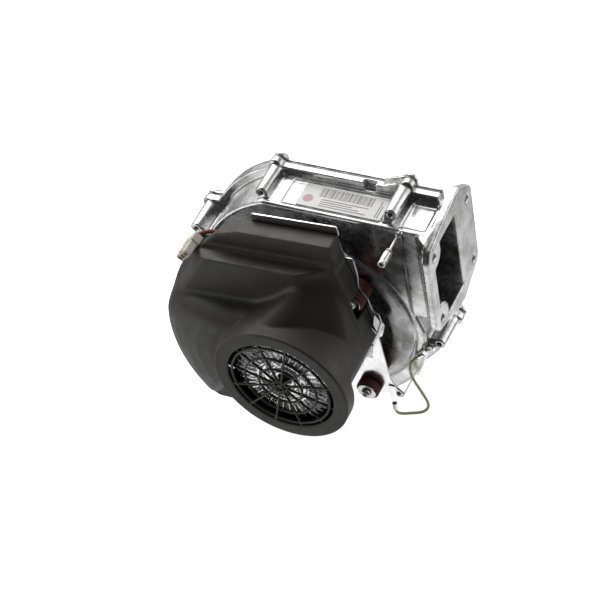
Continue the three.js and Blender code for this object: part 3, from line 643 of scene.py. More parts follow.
def cover_mass(space):
    """The cover as a solid: a skirt, a ledge that bends back at both ends, two shoulders and the boss."""
    flat = space.outline(cover_outline())
    skirt = extruded(flat, COVER.step_1 - space.y, 1.6)
    under_lip = np.maximum(flat, space.z - ledge(COVER.step_2_top + COVER.lip, space.x))
    lip = extruded(under_lip, COVER.step_1 - 1.6 - space.y, 0.6)
    under_ledge = within(flat, space.z - ledge(COVER.step_2_top, space.x), 2)
    # The sloping planes where the ledge bends back at its right and left ends.
    right_bend = (space.x + 103) * 0.486 - (space.y - COVER.step_2) * 0.874
    left_bend = -(space.x + 191.5) * 0.70 + (space.z - 22.7) * 0.47 - (space.y - COVER.step_2) * 0.54
    ledge_front = within(within(COVER.step_2 - space.y, right_bend, 2), left_bend, 3)
    body = blend(blend(skirt, lip, 1.2), within(under_ledge, ledge_front, 1.4), 3.0)
    shoulders = blend(within(cover_dome(space), flat, 5), within(cover_slant(space), flat, 2.5), 16)
    body = blend(body, shoulders, 5)
    body = blend(body, space.along_y(space.from_axis() - COVER.rim, COVER_FRONT, 10, 1.2), 1.6)
    body = carve(body, space.along_y(space.outline(COVER_NOTCH), COVER.notch, 20, 3), 2)
    for x, z in MOUNT_PLACES[:2]:
        body = carve(body, space.rod(x, z, MOUNT_POCKET, COVER.step_1 + 0.5, 20, 3), 2)
    return body


def add_cover():
    low, high = span("motor_cover")
    space = Space(low, high, 0.9)
    mass = cover_mass(space)
    shell = np.maximum(np.maximum(mass, -(mass + COVER.wall)), space.y - COVER.rear)
    eye = space.along_y(space.from_axis() - COVER.opening, COVER_FRONT - 5, COVER_FRONT + 8)
    shell = carve(shell, eye, 0.8)
    shell = carve(shell, space.box(*LEAD_WINDOW, 2), 1)
    moulded("motor_cover_shell", space, shell, PLASTIC, ["motor_cover"])


GRILLE = Sizes(thick=2.4, ring=46.0, mid=33.0, inner=20.0, hub=6.0, boss=2.4, bar=1.7)


def sector_distance(space, spokes, offset=0.5):
    """Distance from the nearest of evenly spaced radial lines."""
    angle = np.arctan2(space.z - AXIS_Z, space.x - AXIS_X)
    pitch = 2 * math.pi / spokes
    nearest = np.abs((angle / pitch - offset + 0.5) % 1 - 0.5) * pitch
    return space.from_axis() * np.sin(np.minimum(nearest, math.pi / 2))


def add_grille():
    """Rings and spokes across the cover's round opening, with narrow slots round the outside."""
    front = COVER_FRONT + 0.2
    rear = front + GRILLE.thick
    reach = COVER.opening + 1.4
    space = Space((AXIS_X - reach, front, AXIS_Z - reach), (AXIS_X + reach, rear, AXIS_Z + reach), 0.55)
    radius = space.from_axis()
    half = GRILLE.bar / 2
    ring, mid, inner, hub = GRILLE.ring, GRILLE.mid, GRILLE.inner, GRILLE.hub

    def band(middle_radius, width=half):
        return np.abs(radius - middle_radius) - width

    def bars(spokes, low, high):
        line = sector_distance(space, spokes) - half
        return np.maximum(np.maximum(line, low - radius), radius - high)

    flat = band(reach, 1.4)
    for shape in (
            bars(12, ring - 1, reach), band(ring - 1.0, 1.0), bars(12, mid, ring), band(mid),
            bars(12, inner, mid), band(inner), bars(12, hub, inner), band(hub), bars(3, 0, hub),
            radius - GRILLE.boss):
        flat = blend(flat, shape, 0.6)
    distance = space.along_y(flat, front, rear, 0.5)
    moulded("motor_cover_grille", space, distance, PLASTIC, ["motor_cover"])


# ---- castings ----

SCROLL = Sizes(start=94.0, growth=0.125, turn=251.7, duct_low=-48.0, duct_high=49.0)
RIM = Sizes(out=8.0, thick=7.0, end=12.0)
RAISED = Sizes(radius=85.0, shoulder=72.0, y=-34.0)
FLANGE = Sizes(thick=7.0, half=35.0, corner=11.6, hole=3.4)
OUTLET = Sizes(front=-35.0, rear=12.0, low=-43.0, high=40.0, boss=13.5, flare=17.0)
POST_RADIUS = 6
BOSS = Sizes(front=-22.0, radius=5.6, foot=17.0, hole=1.9)
SCREW_PLACES = [centre(f"housing_screw_{i}") for i in range(1, 8)]
EARTH_X, EARTH_Z = centre("earth_screw")
EARTH_FRONT = CASTING_FRONT + 3
TOP_RECESSES = Sizes(spans=[(-141, -50), (-33, -11)], front=-24.0, rear=6.5, deep=1.2)
RIM_SLOT = ((-79, 9.2, SCROLL.duct_high - 2), (-67, 13.4, SCROLL.duct_high + 12))
TAP_X, TAP_Z = centre("pressure_tap")
LABEL_LOW, LABEL_HIGH = span("rating_label")


def scroll_flat(space):
    """Distance in XZ from the outline of the scroll and its outlet duct."""
    turns = [SCROLL.turn * i / 60 for i in range(61)]
    points = [polar(SCROLL.start + SCROLL.growth * turn, -turn) for turn in turns]
    points.append((-60, SCROLL.duct_high))
    low, high = SCROLL.duct_low, SCROLL.duct_high
    duct = space.outline([(-90, low), (10, low), (10, high), (-90, high)])
    return np.minimum(space.outline(points), duct)


def taper(space, start, start_radius, end, end_radius):
    """Distance in XZ from a rounded wedge between two circles."""
    dx, dz = end[0] - start[0], end[1] - start[1]
    share = np.clip(((space.x - start[0]) * dx + (space.z - start[1]) * dz) / (dx * dx + dz * dz), 0, 1)
    away = space.radius(start[0] + share * dx, start[1] + share * dz)
    return away - start_radius - (end_radius - start_radius) * share


def flange_outline():
    """Outline of the flange in YZ: rounded corners, straight sides, bulged top and bottom."""
    half, corner = FLANGE.half, FLANGE.corner

    def turn(y, z, start, end):
        angles = [math.radians(start + (end - start) * i / 8) for i in range(9)]
        return [(y + corner * math.cos(a), z + corner * math.sin(a)) for a in angles]

    return [
        *turn(half, half, 0, 62), (24, 57.4), (8, 56.6), (-12, 52.8), *turn(-half, half, 112, 180),
        *turn(-half, -half, 180, 238), (-26, -49.5), (-8, -57.4), (11, -59.6), *turn(half, -half, 302, 360),
    ]


def flange_rod(space, y, z, radius):
    """Distance in YZ from a circle."""
    return np.sqrt((space.y - y) ** 2 + (space.z - z) ** 2) - radius


def duct_hollow(space, flat):
    """The inside of the scroll, and the duct that opens forwards to the flange's square mouth."""
    inner = CASTING_FRONT + CASTING_WALL
    scroll = np.maximum(extruded(flat + CASTING_WALL, inner - space.y, 2), space.x + 34)
    share = np.clip((space.x + OUTLET.flare) / (OUTLET.flare - FLANGE.thick), 0, 1)
    front = inner + (OUTLET.front - inner) * share
    height = space.slab("z", OUTLET.low, OUTLET.high)
    depth = np.maximum(0.7 * (front - space.y), space.y - OUTLET.rear)
    duct = extruded(np.maximum(height, depth), -36 - space.x, 0)
    for z in (-FLANGE.half, FLANGE.half):
        duct = carve(duct, flange_rod(space, -FLANGE.half, z, OUTLET.boss), 1.5)
    return np.minimum(scroll, duct)


def rim_ear(space, x, z):
    """Distance in XZ from the rim's wide-based ear at a screw."""
    away = math.hypot(x - AXIS_X, z - AXIS_Z)
    out_x, out_z = (x - AXIS_X) / away, (z - AXIS_Z) / away
    tip, base = (x + 3.6 * out_x, z + 3.6 * out_z), (x - 11 * out_x, z - 11 * out_z)
    return taper(space, tip, BOSS.radius, base, BOSS.foot)


def screw_bosses(space, rear):
    """Ridges up the wall to the rim, each with a leg down the front, and a bulge of the rim."""
    ridges, bulges = None, None
    for x, z in SCREW_PLACES:
        share = 1 - BOSS.foot / math.hypot(x - AXIS_X, z - AXIS_Z)
        foot = [AXIS_X + (x - AXIS_X) * share, AXIS_Z + (z - AXIS_Z) * share]
        wide = BOSS.radius + 0.9 * (space.y - BOSS.front) / (rear - BOSS.front)
        ridge = space.along_y(taper(space, (x, z), wide, foot, 1.4), BOSS.front, rear, 0.8)
        bulge = space.along_y(rim_ear(space, x, z), rear - RIM.thick, rear, 1.0)
        ridges = ridge if ridges is None else np.minimum(ridges, ridge)
        bulges = bulge if bulges is None else np.minimum(bulges, bulge)
    return ridges, bulges


def add_front_casting():
    low, high = span("volute_front")
    rear = SPLIT - GAP
    space = Space(low, high, 0.9)
    flat = scroll_flat(space)
    shell = np.maximum(extruded(flat, CASTING_FRONT - space.y, 3.0), space.x + FLANGE.thick)
    radius, shoulder, top = RAISED.radius, RAISED.shoulder, RAISED.y
    raised = space.turned([
        (0, 0), (radius, 0), (radius, CASTING_FRONT - 2), (radius - 4, top + 2.4), (shoulder + 3, top + 0.8),
        (shoulder - 6, top), (0, top)])
    shell = blend(shell, np.maximum(raised, flat), 2.5)
    rim = np.maximum(flat - RIM.out, space.x + RIM.end)
    rim = extruded(rim, space.slab("y", rear - RIM.thick, rear), 1.2)
    ridges, bulges = screw_bosses(space, rear)
    shell = blend(np.minimum(rim, bulges), shell, 2.0)
    shell = blend(shell, ridges, 3.0)
    sweep = np.clip((space.x + OUTLET.flare) / 11, 0, 1)
    neck_front = CASTING_FRONT + (OUTLET.front - CASTING_WALL - CASTING_FRONT) * sweep
    neck = np.maximum(space.slab("z", SCROLL.duct_low, SCROLL.duct_high), 0.74 * (neck_front - space.y))
    neck = extruded(neck, space.slab("x", -30, -FLANGE.thick + 1), 1.0)
    shell = np.maximum(blend(shell, neck, 4.0), space.y - rear)
    flange = extruded(polygon(space.y, space.z, flange_outline()), space.slab("x", -FLANGE.thick, 0), 0.9)
    shell = blend(shell, flange, 2.5)
    for x, z in MOUNT_PLACES:
        shell = blend(shell, space.rod(x, z, POST_RADIUS, RAISED.y - 1, 0, 0.5), 1.5)
    lug = blend(
        space.rod(EARTH_X, EARTH_Z, 4.8, EARTH_FRONT, 6, 0.5),
        space.box((EARTH_X - 4, EARTH_FRONT + 3, EARTH_Z - 1), (EARTH_X + 8, 6, EARTH_Z + 6), 1), 2)
    shell = blend(shell, lug, 2.0)
    shell = carve(shell, duct_hollow(space, flat), 1.0)
    floor = SCROLL.duct_high - TOP_RECESSES.deep
    for start, end in TOP_RECESSES.spans:
        recess = space.box((start, TOP_RECESSES.front, floor), (end, TOP_RECESSES.rear, floor + 14), 2.5)
        shell = carve(shell, recess, 0.8)
    slot_low, slot_high = RIM_SLOT
    shell = carve(shell, space.box(slot_low, slot_high, 0.8))
    for y in (-FLANGE.half, FLANGE.half):
        for z in (-FLANGE.half, FLANGE.half):
            hole = flange_rod(space, y, z, FLANGE.hole)
            shell = carve(shell, np.maximum(hole, -FLANGE.thick - 4 - space.x), 0.7)
    for x, z in SCREW_PLACES:
        shell = carve(shell, space.rod(x, z, BOSS.hole, BOSS.front - 2, rear + 2), 1.2)
    holes = [(AXIS_X, AXIS_Z, 11, -45, 0), (EARTH_X, EARTH_Z, 1.9, EARTH_FRONT - 2, -8)]
    holes += [(EARTH_X, EARTH_Z, 6, CASTING_FRONT - 3, EARTH_FRONT), (TAP_X, TAP_Z, 1.2, -30, -25)]
    holes += [(x, z, 2, -37, -25) for x, z in MOUNT_PLACES]
    for x, z, radius, start, end in holes:
        shell = carve(shell, space.rod(x, z, radius, start, end), 0.4)
    moulded("front_casting", space, shell, CAST, ["volute_front"], smoothing=1)


REAR = Sizes(
    collar=52, bore=36, groove=44.5, lugs=55, lug_directions=(30, 150, 270),
    rib_directions=(60, 120, 200, 300))


def add_rear_casting():
    low, high = span("volute_rear")
    front, collar = low[1], high[1]
    rear = front + 4
    space = Space(low, high, 1.2)
    flat = scroll_flat(space)
    shell = extruded(np.maximum(flat - RIM.out + 0.6, space.x + RIM.end), space.slab("y", front, rear), 1.0)
    outer, bore = REAR.collar, REAR.bore
    dish = space.turned([
        (0, front), (100, front), (100, rear), (88, 26), (58, 28), (outer, 32), (outer, collar), (0, collar)])
    shell = blend(shell, dish, 3.0)
    for degrees in REAR.rib_directions:
        start, end = polar(54, degrees), polar(91, degrees)
        shell = blend(shell, space.along_y(taper(space, start, 1.6, end, 1.4), front, rear + 7.5, 0.6), 2.0)
    for degrees in REAR.lug_directions:
        shell = blend(shell, space.rod(*polar(REAR.lugs, degrees), 7.5, 24, collar, 0.8), 2.0)
    for x, z in SCREW_PLACES:
        shell = blend(shell, space.along_y(rim_ear(space, x, z), front, rear, 1.0), 0.5)
        shell = blend(shell, space.rod(x, z, 6.4, front, rear + 2, 0.8), 1.0)
    inlet = space.turned([
        (0, front - 5), (46, front - 5), (46, front), (39, front + 6), (bore, front + 12), (bore, collar + 5),
        (0, collar + 5)])
    shell = carve(shell, inlet, 1.5)
    groove = np.abs(space.from_axis() - REAR.groove) - 1.5
    shell = carve(shell, np.maximum(groove, collar - 2.4 - space.y))
    for degrees in REAR.lug_directions:
        shell = carve(shell, space.rod(*polar(REAR.lugs, degrees), 2.5, collar - 12, collar + 3), 0.6)
    for x, z in SCREW_PLACES:
        shell = carve(shell, space.rod(x, z, 1.9, front - 3, rear + 6))
    shell = np.maximum(shell, front - space.y)
    moulded("rear_casting", space, shell, CAST, ["volute_rear"])


# ---- turned, sheet and round pieces ----


SOCKET_LOBES = 6
SOCKET_WAVE = 0.13


def ring_mesh(name, profile, x, z, sides):
    """A closed body turned round a line along Y. A profile point is (radius, y), or (radius, y, True)
    where the radius waves in and out, as in a screw's star-shaped socket."""
    vertices, faces = [], []
    for side in range(sides):
        angle = 2 * math.pi * side / sides
        for radius, y, *wavy in profile:
            reach = radius * (1 + SOCKET_WAVE * math.cos(SOCKET_LOBES * angle)) if wavy else radius
            vertices.append(((x + reach * math.cos(angle)) * MM, y * MM, (z + reach * math.sin(angle)) * MM))
    count = len(profile)
    for side in range(sides):
        here, there = side * count, (side + 1) % sides * count
        for i in range(count):
            after = (i + 1) % count
            faces.append((here + i, here + after, there + after, there + i))
    mesh = bpy.data.meshes.new(name)
    mesh.from_pydata(vertices, [], faces)
    return clean(mesh)


def clean(mesh, crease=35):
    """Joins doubled corners, turns every face outwards and keeps edges sharper than crease crisp."""
    work = bmesh.new()
    work.from_mesh(mesh)
    bmesh.ops.remove_doubles(work, verts=work.verts, dist=1e-6)
    bmesh.ops.recalc_face_normals(work, faces=work.faces)
    for face in work.faces:
        face.smooth = True
    for edge in work.edges:
        edge.smooth = len(edge.link_faces) == 2 and edge.calc_face_angle() < math.radians(crease)
    work.to_mesh(mesh)
    work.free()
    return mesh


def rounded_profile(corners, radius):
    """A closed (radius, y) profile with a small bevel at every corner off the axis."""
    points = []
    for i, corner in enumerate(corners):
        here = Vector(corner)
        if here.x < 0.05:
            points.append(tuple(here))
            continue
        for other in (Vector(corners[i - 1]), Vector(corners[(i + 1) % len(corners)])):
            reach = min(radius, (other - here).length * 0.45)
            points.append(tuple(here + (other - here).normalized() * reach))
    return points


def add_turned(name, corners, x, z, material, stands_for=(), body="root", bevel=0.3, sides=64):
    mesh = ring_mesh(name, rounded_profile(corners, bevel), x, z, sides)
    place(name, mesh, material, body, stands_for)


def add_screw(name, x, z, seat, away, tip, head, shank, stands_for):
    """A pan-head screw with a star socket. away is -1 where its head is towards -Y. head is its radius
    and height."""
    wide, high = head
    top = seat + away * high
    profile = [
        (0.01, tip), (shank * 0.7, tip), (shank, tip + away), (shank, seat), (wide - 0.25, seat),
        (wide, seat + away * 0.4), (wide * 0.96, seat + away * high * 0.5),
        (wide * 0.8, seat + away * high * 0.85), (wide * 0.55, top), (wide * 0.45, top, True),
        (wide * 0.42, seat + away * high * 0.35, True), (0.01, seat + away * high * 0.3),
    ]
    mesh = ring_mesh(name, profile, x, z, 72)
    place(name, mesh, STEEL, "root", stands_for)


def rounded(points, radius, steps=4):
    """A closed outline with its corners rounded."""
    result = []
    for i, point in enumerate(points):
        here = Vector(point)
        before, after = Vector(points[i - 1]) - here, Vector(points[(i + 1) % len(points)]) - here
        reach = min(radius, before.length * 0.45, after.length * 0.45)
        start, end = here + before.normalized() * reach, here + after.normalized() * reach
        for k in range(steps + 1):
            t = k / steps
            result.append(tuple(start * (1 - t) ** 2 + here * 2 * t * (1 - t) + end * t ** 2))
    return result


def circle(x, z, radius, count=40):
    angles = [2 * math.pi * i / count for i in range(count)]
    return [(x + radius * math.cos(a), z + radius * math.sin(a)) for a in angles]


def sheet_mesh(name, outlines, thick, bevel):
    """A flat sheet in XY with holes and rolled edges, centred on z = 0."""
    curve = bpy.data.curves.new(name, "CURVE")
    curve.dimensions = "2D"
    curve.fill_mode = "BOTH"
    for outline in outlines:
        spline = curve.splines.new("POLY")
        spline.points.add(len(outline) - 1)
        for point, (u, v) in zip(spline.points, outline):
            point.co = (u * MM, v * MM, 0, 1)
        spline.use_cyclic_u = True
    curve.extrude = (thick / 2 - bevel) * MM
    curve.bevel_depth = bevel * MM
    curve.bevel_resolution = 1
    curve.offset = -bevel * MM
    source = bpy.data.objects.new(name, curve)
    mesh = bpy.data.meshes.new_from_object(source)
    bpy.data.objects.remove(source)
    mesh.name = name
    clean(mesh)
    for face in mesh.polygons:
        face.use_smooth = abs(face.normal.z) < 0.99
    return mesh


def add_sheet(name, outlines, low, high, material, stands_for=(), bevel=0.2):
    """A sheet square to Y between two values of it. Its outlines are in (x, z)."""
    mesh = sheet_mesh(name, outlines, high - low, bevel)
    mesh.transform(Matrix.Translation((0, (low + high) / 2 * MM, 0)) @ Matrix.Rotation(math.pi / 2, 4, "X"))
    return place(name, mesh, material, "root", stands_for)


def smooth_path(points, steps):
    """A centripetal curve through points, cut into steps even in its own parameter."""
    knots = [Vector(p) for p in points]
    knots = [knots[0] * 2 - knots[1], *knots, knots[-1] * 2 - knots[-2]]
    result = []
    for step in range(steps + 1):
        share = step / steps * (len(points) - 1)
        k = min(int(share), len(points) - 2)
        p = knots[k:k + 4]
        t = [0.0]
        for a, b in zip(p, p[1:]):
            t.append(t[-1] + math.sqrt((b - a).length))
        at = t[1] + (t[2] - t[1]) * (share - k)
        row = [p[i].lerp(p[i + 1], (at - t[i]) / (t[i + 1] - t[i])) for i in range(3)]
        row = [row[i].lerp(row[i + 1], (at - t[i]) / (t[i + 2] - t[i])) for i in range(2)]
        result.append(tuple(row[0].lerp(row[1], (at - t[1]) / (t[2] - t[1]))))
    return result


def round_curve(name, points, radius, material, stands_for):
    """A round cord along points, its ends closed with flat caps."""
    curve = bpy.data.curves.new(name, "CURVE")
    curve.dimensions = "3D"
    spline = curve.splines.new("POLY")
    spline.points.add(len(points) - 1)
    for point, place_mm in zip(spline.points, points):
        point.co = (*(value * MM for value in place_mm), 1)
    spline.use_smooth = True
    curve.bevel_depth = radius * MM
    curve.bevel_resolution = 5
    curve.use_fill_caps = True
    return place(name, curve, material, "root", stands_for)


# ---- motor plate, mounts and small pieces ----

PLATE_OUTLINE = [
    (-154.4, 55), (-76.3, 60), (-75.4, 51), (-77.5, 47), (-74, 26.5), (-66.8, 26.5), (-65, 7), (-66.4, -5),
    (-64.3, -12), (-59.7, -17.6), (-57.5, -30.5), (-55.5, -34.5), (-52, -34.3), (-51, -43), (-48.6, -48),
    (-52.5, -62), (-56, -64), (-52.5, -115), (-47.5, -129), (-56, -136), (-95, -147), (-150, -147),
    (-186, -157), (-213, -157), (-226, -141), (-232, -118), (-236, -78), (-226, -30), (-210, -4), (-178, 34),
    (-155, 46),
]
MOUNT = Sizes(radius=10.5, sleeve=4.3, neck=7.0, washer=8.6)
TAB_TURN = 33


def add_plate():
    """The zinc motor plate, with holes for the mounts, the shaft, the terminal's rivet and the tab."""
    holes = [circle(x, z, MOUNT.neck + GAP) for x, z in MOUNT_PLACES]
    holes += [circle(AXIS_X, AXIS_Z, 12), circle(-52, -128, 1.6, 20), circle(-54.5, -40.5, 1.5, 20)]
    holes.append(rounded([(-72.5, -93), (-65.5, -93), (-65.5, -91.6), (-72.5, -91.6)], 0.6))
    add_sheet(
        "motor_plate_sheet", [rounded(PLATE_OUTLINE, 2.0), *holes], PLATE_FRONT, PLATE_REAR,
        ZINC, ["motor_plate"], bevel=0.25)


def add_plate_tab():
    """A bright spring tab on the plate's right edge, turned to the right: a leaf and two prongs."""
    leaf = [(0, 12), (3.2, 3), (2.6, 0), (-0.6, -9), (-2.6, 0), (-1.8, 5)]
    left_prong = [(-5.2, -2.4), (-4, -4), (-0.6, -11), (-1.8, -11.6)]
    right_prong = [(4.4, 1.8), (5.8, -1), (0.6, -12), (-0.4, -10.6)]
    place_of_tab = Vector((-54.2, PLATE_FRONT - 3.2, -43.4)) * MM
    turn = Matrix.Translation(place_of_tab) @ Matrix.Rotation(math.radians(TAB_TURN), 4, "Z")
    outlines = [rounded(outline, 0.5) for outline in (leaf, left_prong, right_prong)]
    tab = add_sheet("plate_tab", outlines, -0.5, 0.5, ZINC)
    tab.data.transform(turn)
    fold = rounded([(-74.5, -93), (-66.4, -93), (-62.6, -76), (-66.4, -76)], 0.5)
    add_sheet("plate_fold", [fold], PLATE_FRONT - 0.9, PLATE_FRONT - 0.1, STEEL)


def add_mounts():
    for index, (x, z) in enumerate(MOUNT_PLACES, 1):
        (_, front, _), (_, rear, _) = span(f"rubber_mount_{index}")
        outer, inner, neck = MOUNT.radius, MOUNT.sleeve, MOUNT.neck
        add_turned(
            f"mount_rubber_{index}", [
                (inner, front), (outer, front), (outer, PLATE_FRONT - GAP), (neck, PLATE_FRONT - GAP),
                (neck, PLATE_REAR + GAP), (outer, PLATE_REAR + GAP), (outer, rear), (inner, rear)],
            x, z, RUBBER, [f"rubber_mount_{index}"], bevel=1.1)
        low, high = span(f"mount_washer_{index}")
        add_turned(
            f"mount_washer_rim_{index}",
            [(2.4, low[1]), (MOUNT.washer, low[1]), (MOUNT.washer, high[1]), (2.4, high[1])],
            x, z, STEEL, [f"mount_washer_{index}"])
        low, high = span(f"mount_screw_{index}")
        add_screw(
            f"mount_screw_head_{index}", x, z, low[1] + 3.4, -1, high[1], (4.6, 3.4), 1.7,
            [f"mount_screw_{index}"])


def add_housing_screws():
    for index, (x, z) in enumerate(SCREW_PLACES, 1):
        low, high = span(f"housing_screw_{index}")
        add_screw(
            f"housing_screw_head_{index}", x, z, high[1] - 3, 1, low[1], (3.8, 3.0), 1.6,
            [f"housing_screw_{index}"])


def add_tap():
    low, high = span("pressure_tap")
    front, shoulder, tip = low[1], -46.0, high[1]
    add_turned(
        "pressure_tap_spout", [
            (2, front), (3.3, front), (3.6, front + 1.2), (3.3, front + 2), (3.3, front + 4),
            (3.6, front + 5), (3.6, shoulder - 3), (1.2, shoulder - 3), (1.2, shoulder - 1),
            (3, shoulder - 1), (3, shoulder), (1.1, shoulder), (1.1, tip), (0.01, tip), (0.01, front + 9),
            (2, front + 9)],
        TAP_X, TAP_Z, STEEL, ["pressure_tap"], bevel=0.25, sides=40)


def flat_on_top(name, outlines, low, high, material, stands_for=(), bevel=0.05):
    """A sheet square to Z, its outlines in (x, y)."""
    mesh = sheet_mesh(name, outlines, high - low, bevel)
    mesh.transform(Matrix.Translation((0, 0, (low + high) / 2 * MM)))
    place(name, mesh, material, "root", stands_for)


# Widths of the strokes in the label's block of plain bars. They carry no code.
STROKES = (1, 2, 1, 3, 1, 1, 2, 3, 1, 2, 1, 1, 3, 1, 2, 2, 1, 3, 1, 1, 2, 1, 3, 2, 1, 2, 1, 1, 3, 1, 2)


def add_label():
    """A printed label in the duct's top recess: bars of plain tone stand for its lines of print."""
    (x0, y0, z0), (x1, y1, z1) = LABEL_LOW, LABEL_HIGH
    corners = [(x0, y0), (x1, y0), (x1, y1), (x0, y1)]
    flat_on_top("label_paper_sheet", [rounded(corners, 1.5)], z0, z1, PAPER, ["rating_label"])

    def bar(start, end, low, high):
        return [(start, low), (end, low), (end, high), (start, high)]

    bars = []
    for row in range(4):
        line = y0 + 2.6 + 2.4 * row
        bars.append(bar(x0 + 20, x1 - 14 - 7 * (row % 3), line, y0 + 3.5 + 2.4 * row))
    for row in range(2):
        bars.append(bar(x1 - 6 + 2 * row, x1 - 5.2 + 2 * row, y0 + 2, y1 - 4 - 5 * row))
    at = x0 + 16
    for wide in STROKES:
        bars.append(bar(at, at + wide * 0.45, y1 - 12, y1 - 2))
        at += wide * 0.45 + 0.8
    flat_on_top("label_print", bars, z1, z1 + 0.06, PRINT, bevel=0.01)
    flat_on_top("label_mark", [circle(x0 + 8, y0 + 9, 4.4)], z1, z1 + 0.06, MARK, bevel=0.01)


PLUG = Sizes(thick=9.0, width=15.0, front=-80.5, rear=-58.0, distance=129.8, direction=135.0)
# Each lead's material, slot, radius, place across the plug, and route from the plug to the cover's window.
LEADS = {
    "green": (
        GREEN, "green_lead", 2.3, -3,
        [(-195, -52.6, 21), (-187.5, -56, 18.5), (-184.5, -58, 11), (-184.5, -58, 5.3)]),
    "brown": (
        BROWN, "dark_red_lead", 1.9, 3,
        [(-190, -52.6, 29), (-180, -55.4, 24.5), (-177, -58, 13), (-177, -58, 5.3)]),
}
WIRE_RADIUS = 1.4


def plug_frame():
    x, z = polar(PLUG.distance, PLUG.direction)
    turn = Matrix.Rotation(-math.radians(PLUG.direction), 4, "Y")
    return Matrix.Translation((x * MM, 0, z * MM)) @ turn


def add_plug():
    thick, width = PLUG.thick / 2, PLUG.width / 2
    front, rear = PLUG.front, PLUG.rear
    space = Space((-thick, front, -width - 0.8), (thick + 0.4, rear, width + 0.8), 0.35)
    shape = space.box((-thick + 1, front, -width), (thick - 1, rear, width), 0.8)
    shape = blend(shape, space.box((-thick, rear - 9, -width - 0.8), (thick, rear, width + 0.8), 0.8), 0.6)
    shape = blend(shape, space.box((thick - 1.4, front + 2, -2.5), (thick + 0.4, rear - 8, 2.5), 0.5), 0.6)
    for z in (-width + 1.5, width - 1.5):
        rib = space.box((thick - 1.6, front + 1, z - 0.7), (thick - 0.4, rear - 9, z + 0.7), 0.4)
        shape = blend(shape, rib, 0.5)
    for z in (-4.5, 0, 4.5):
        shape = carve(shape, space.box((-1.6, front - 2, z - 1.5), (1.6, front + 7, z + 1.5), 0.3), 0.4)
    for z in (-3, 3):
        shape = carve(shape, space.rod(0, z, 1.9, rear - 3, rear + 2), 0.4)
    plug = moulded("mains_plug_housing", space, shape, NYLON, ["mains_plug"], smoothing=1)
    plug.data.transform(plug_frame())


def add_leads():
    start = PLUG.rear - 2
    turn = plug_frame()
    for colour, (material, slot, radius, shift, route) in LEADS.items():
        ends = [turn @ Vector((0, y * MM, shift * -MM)) / MM for y in (start, start + 4)]
        path = smooth_path([*(tuple(end) for end in ends), *route], 60)
        round_curve(f"lead_{colour}_sleeve", path, radius, material, [f"lead_{colour}"])


# From the plate's terminal down, round to the right and back up to the earth lug.
WIRE_ROUTE = [
    (-51.5, -48.9, -155.6), (-51.1, -48.8, -158.2), (-49.3, -48.4, -160.6), (-46, -47.2, -161.8),
    (-41.6, -45.4, -162), (-37, -43.4, -162.1), (-32.4, -41.2, -162.2), (-28.2, -39, -160.8),
    (-25.6, -37.2, -156.9), (-25.8, -36.2, -151.8), (-28.8, -35.2, -145.4), (-33, -34.2, -137.8),
    (-36.8, -33.8, -129.6), (-39, -33.4, -121.6), (-39.2, -33.2, -113.8), (-37.4, -32.6, -106.8),
    (-33.6, -32, -101.4), (-30.2, -31.8, -98),
]


def add_bonding_wire():
    path = smooth_path(WIRE_ROUTE, 136)
    wire = round_curve(
        "bonding_wire_sleeve", path, WIRE_RADIUS, GREEN_YELLOW, ["bonding_wire"])


# ---- rotor ----

ROTOR = Sizes(radius=44.0, wall=2.2, front=-104.0, rear=-62.0, fins=36, fin_half=0.85)
# The cooling wheel's rings: middle radius, half width, and how far behind the fins' front they start.
COOLING_RINGS = ((40, 1.2, 4.0), (23, 1.4, 1.0), (12, 2.0, 1.6))


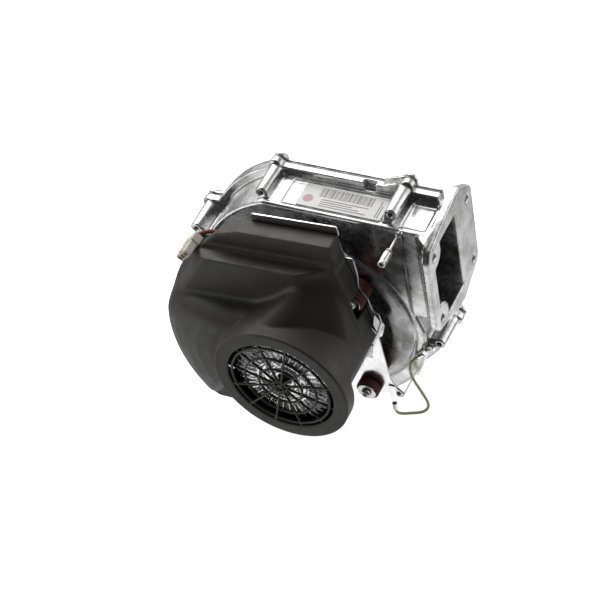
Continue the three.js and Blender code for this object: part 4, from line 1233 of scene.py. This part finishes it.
def add_rotor():
    """The motor's bell and, on its front, the finned cooling wheel with its raised disc and rings."""
    radius, wall, front, rear = ROTOR.radius, ROTOR.wall, ROTOR.front, ROTOR.rear
    add_turned(
        "rotor_bell_shell", [
            (0.01, front), (radius - 3, front), (radius, front + 3), (radius, rear), (radius - wall, rear),
            (radius - wall, front + 1), (0.01, front + 1)],
        AXIS_X, AXIS_Z, ROTOR_STEEL, ["rotor_bell"], "rotor", bevel=0.8, sides=96)
    low, high = span("cooling_wheel")
    space = Space(low, high, 0.6)
    away = space.from_axis()
    disc = space.along_y(np.abs(away - 22) - 16, low[1] + 3.2, low[1] + 4.6, 0.3)
    fins = sector_distance(space, ROTOR.fins, 0.0) - ROTOR.fin_half
    fins = within(within(fins, away - radius + 0.7, 0.8), 24 - away, 0.8)
    shape = blend(disc, space.along_y(fins, low[1], high[1], 0.4), 1.2)
    for middle_radius, wide, depth in COOLING_RINGS:
        ring = space.along_y(np.abs(away - middle_radius) - wide, low[1] + depth - 1, high[1], 0.5)
        shape = blend(shape, ring, 1.2)
    moulded(
        "cooling_wheel_fins", space, shape, WHEEL, ["cooling_wheel"], "rotor", smoothing=4)


# ---- looks of the plain CAD pieces ----


BEARING_RINGS = ("outer_ring", "inner_ring", "ball_cage")


def finish_cad_nodes():
    """Materials for the CAD nodes that no visual piece replaces."""
    looks = {
        ALUMINIUM: ["bearing_tube", "impeller"],
        ZINC: ["plate_terminal", "lug_terminal"],
        STEEL: [
            *(f"mount_sleeve_{i}" for i in (1, 2, 3)),
            *(f"{end}_bearing_{ring}" for end in ("front", "rear") for ring in BEARING_RINGS),
            "shaft", "impeller_nut", "earth_screw"],
        LAMINATIONS: ["stator_core"],
        COPPER: ["stator_windings", "line_choke"],
        MAGNET: ["rotor_magnets"],
        BLACK_RUBBER: ["inlet_seal", "shaft_seal", "power_module"],
        GASKET: ["housing_seal"],
        BOARD: ["circuit_board"],
        SLEEVE: ["capacitor_1", "capacitor_2"],
        NYLON: ["lead_terminal"],
    }
    for material, names in looks.items():
        for name in names:
            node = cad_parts[name]
            for slot in node.material_slots:
                slot.link = "OBJECT"
                slot.material = material


# ---- making the object ----

bpy.context.scene.view_settings.view_transform = "Standard"
add_camera()
add_world()
add_floor()
add_lights()
add_cover()
add_grille()
add_front_casting()
add_rear_casting()
add_plate()
add_plate_tab()
add_mounts()
add_housing_screws()
add_tap()
add_label()
add_plug()
add_leads()
add_bonding_wire()
add_rotor()
finish_cad_nodes()
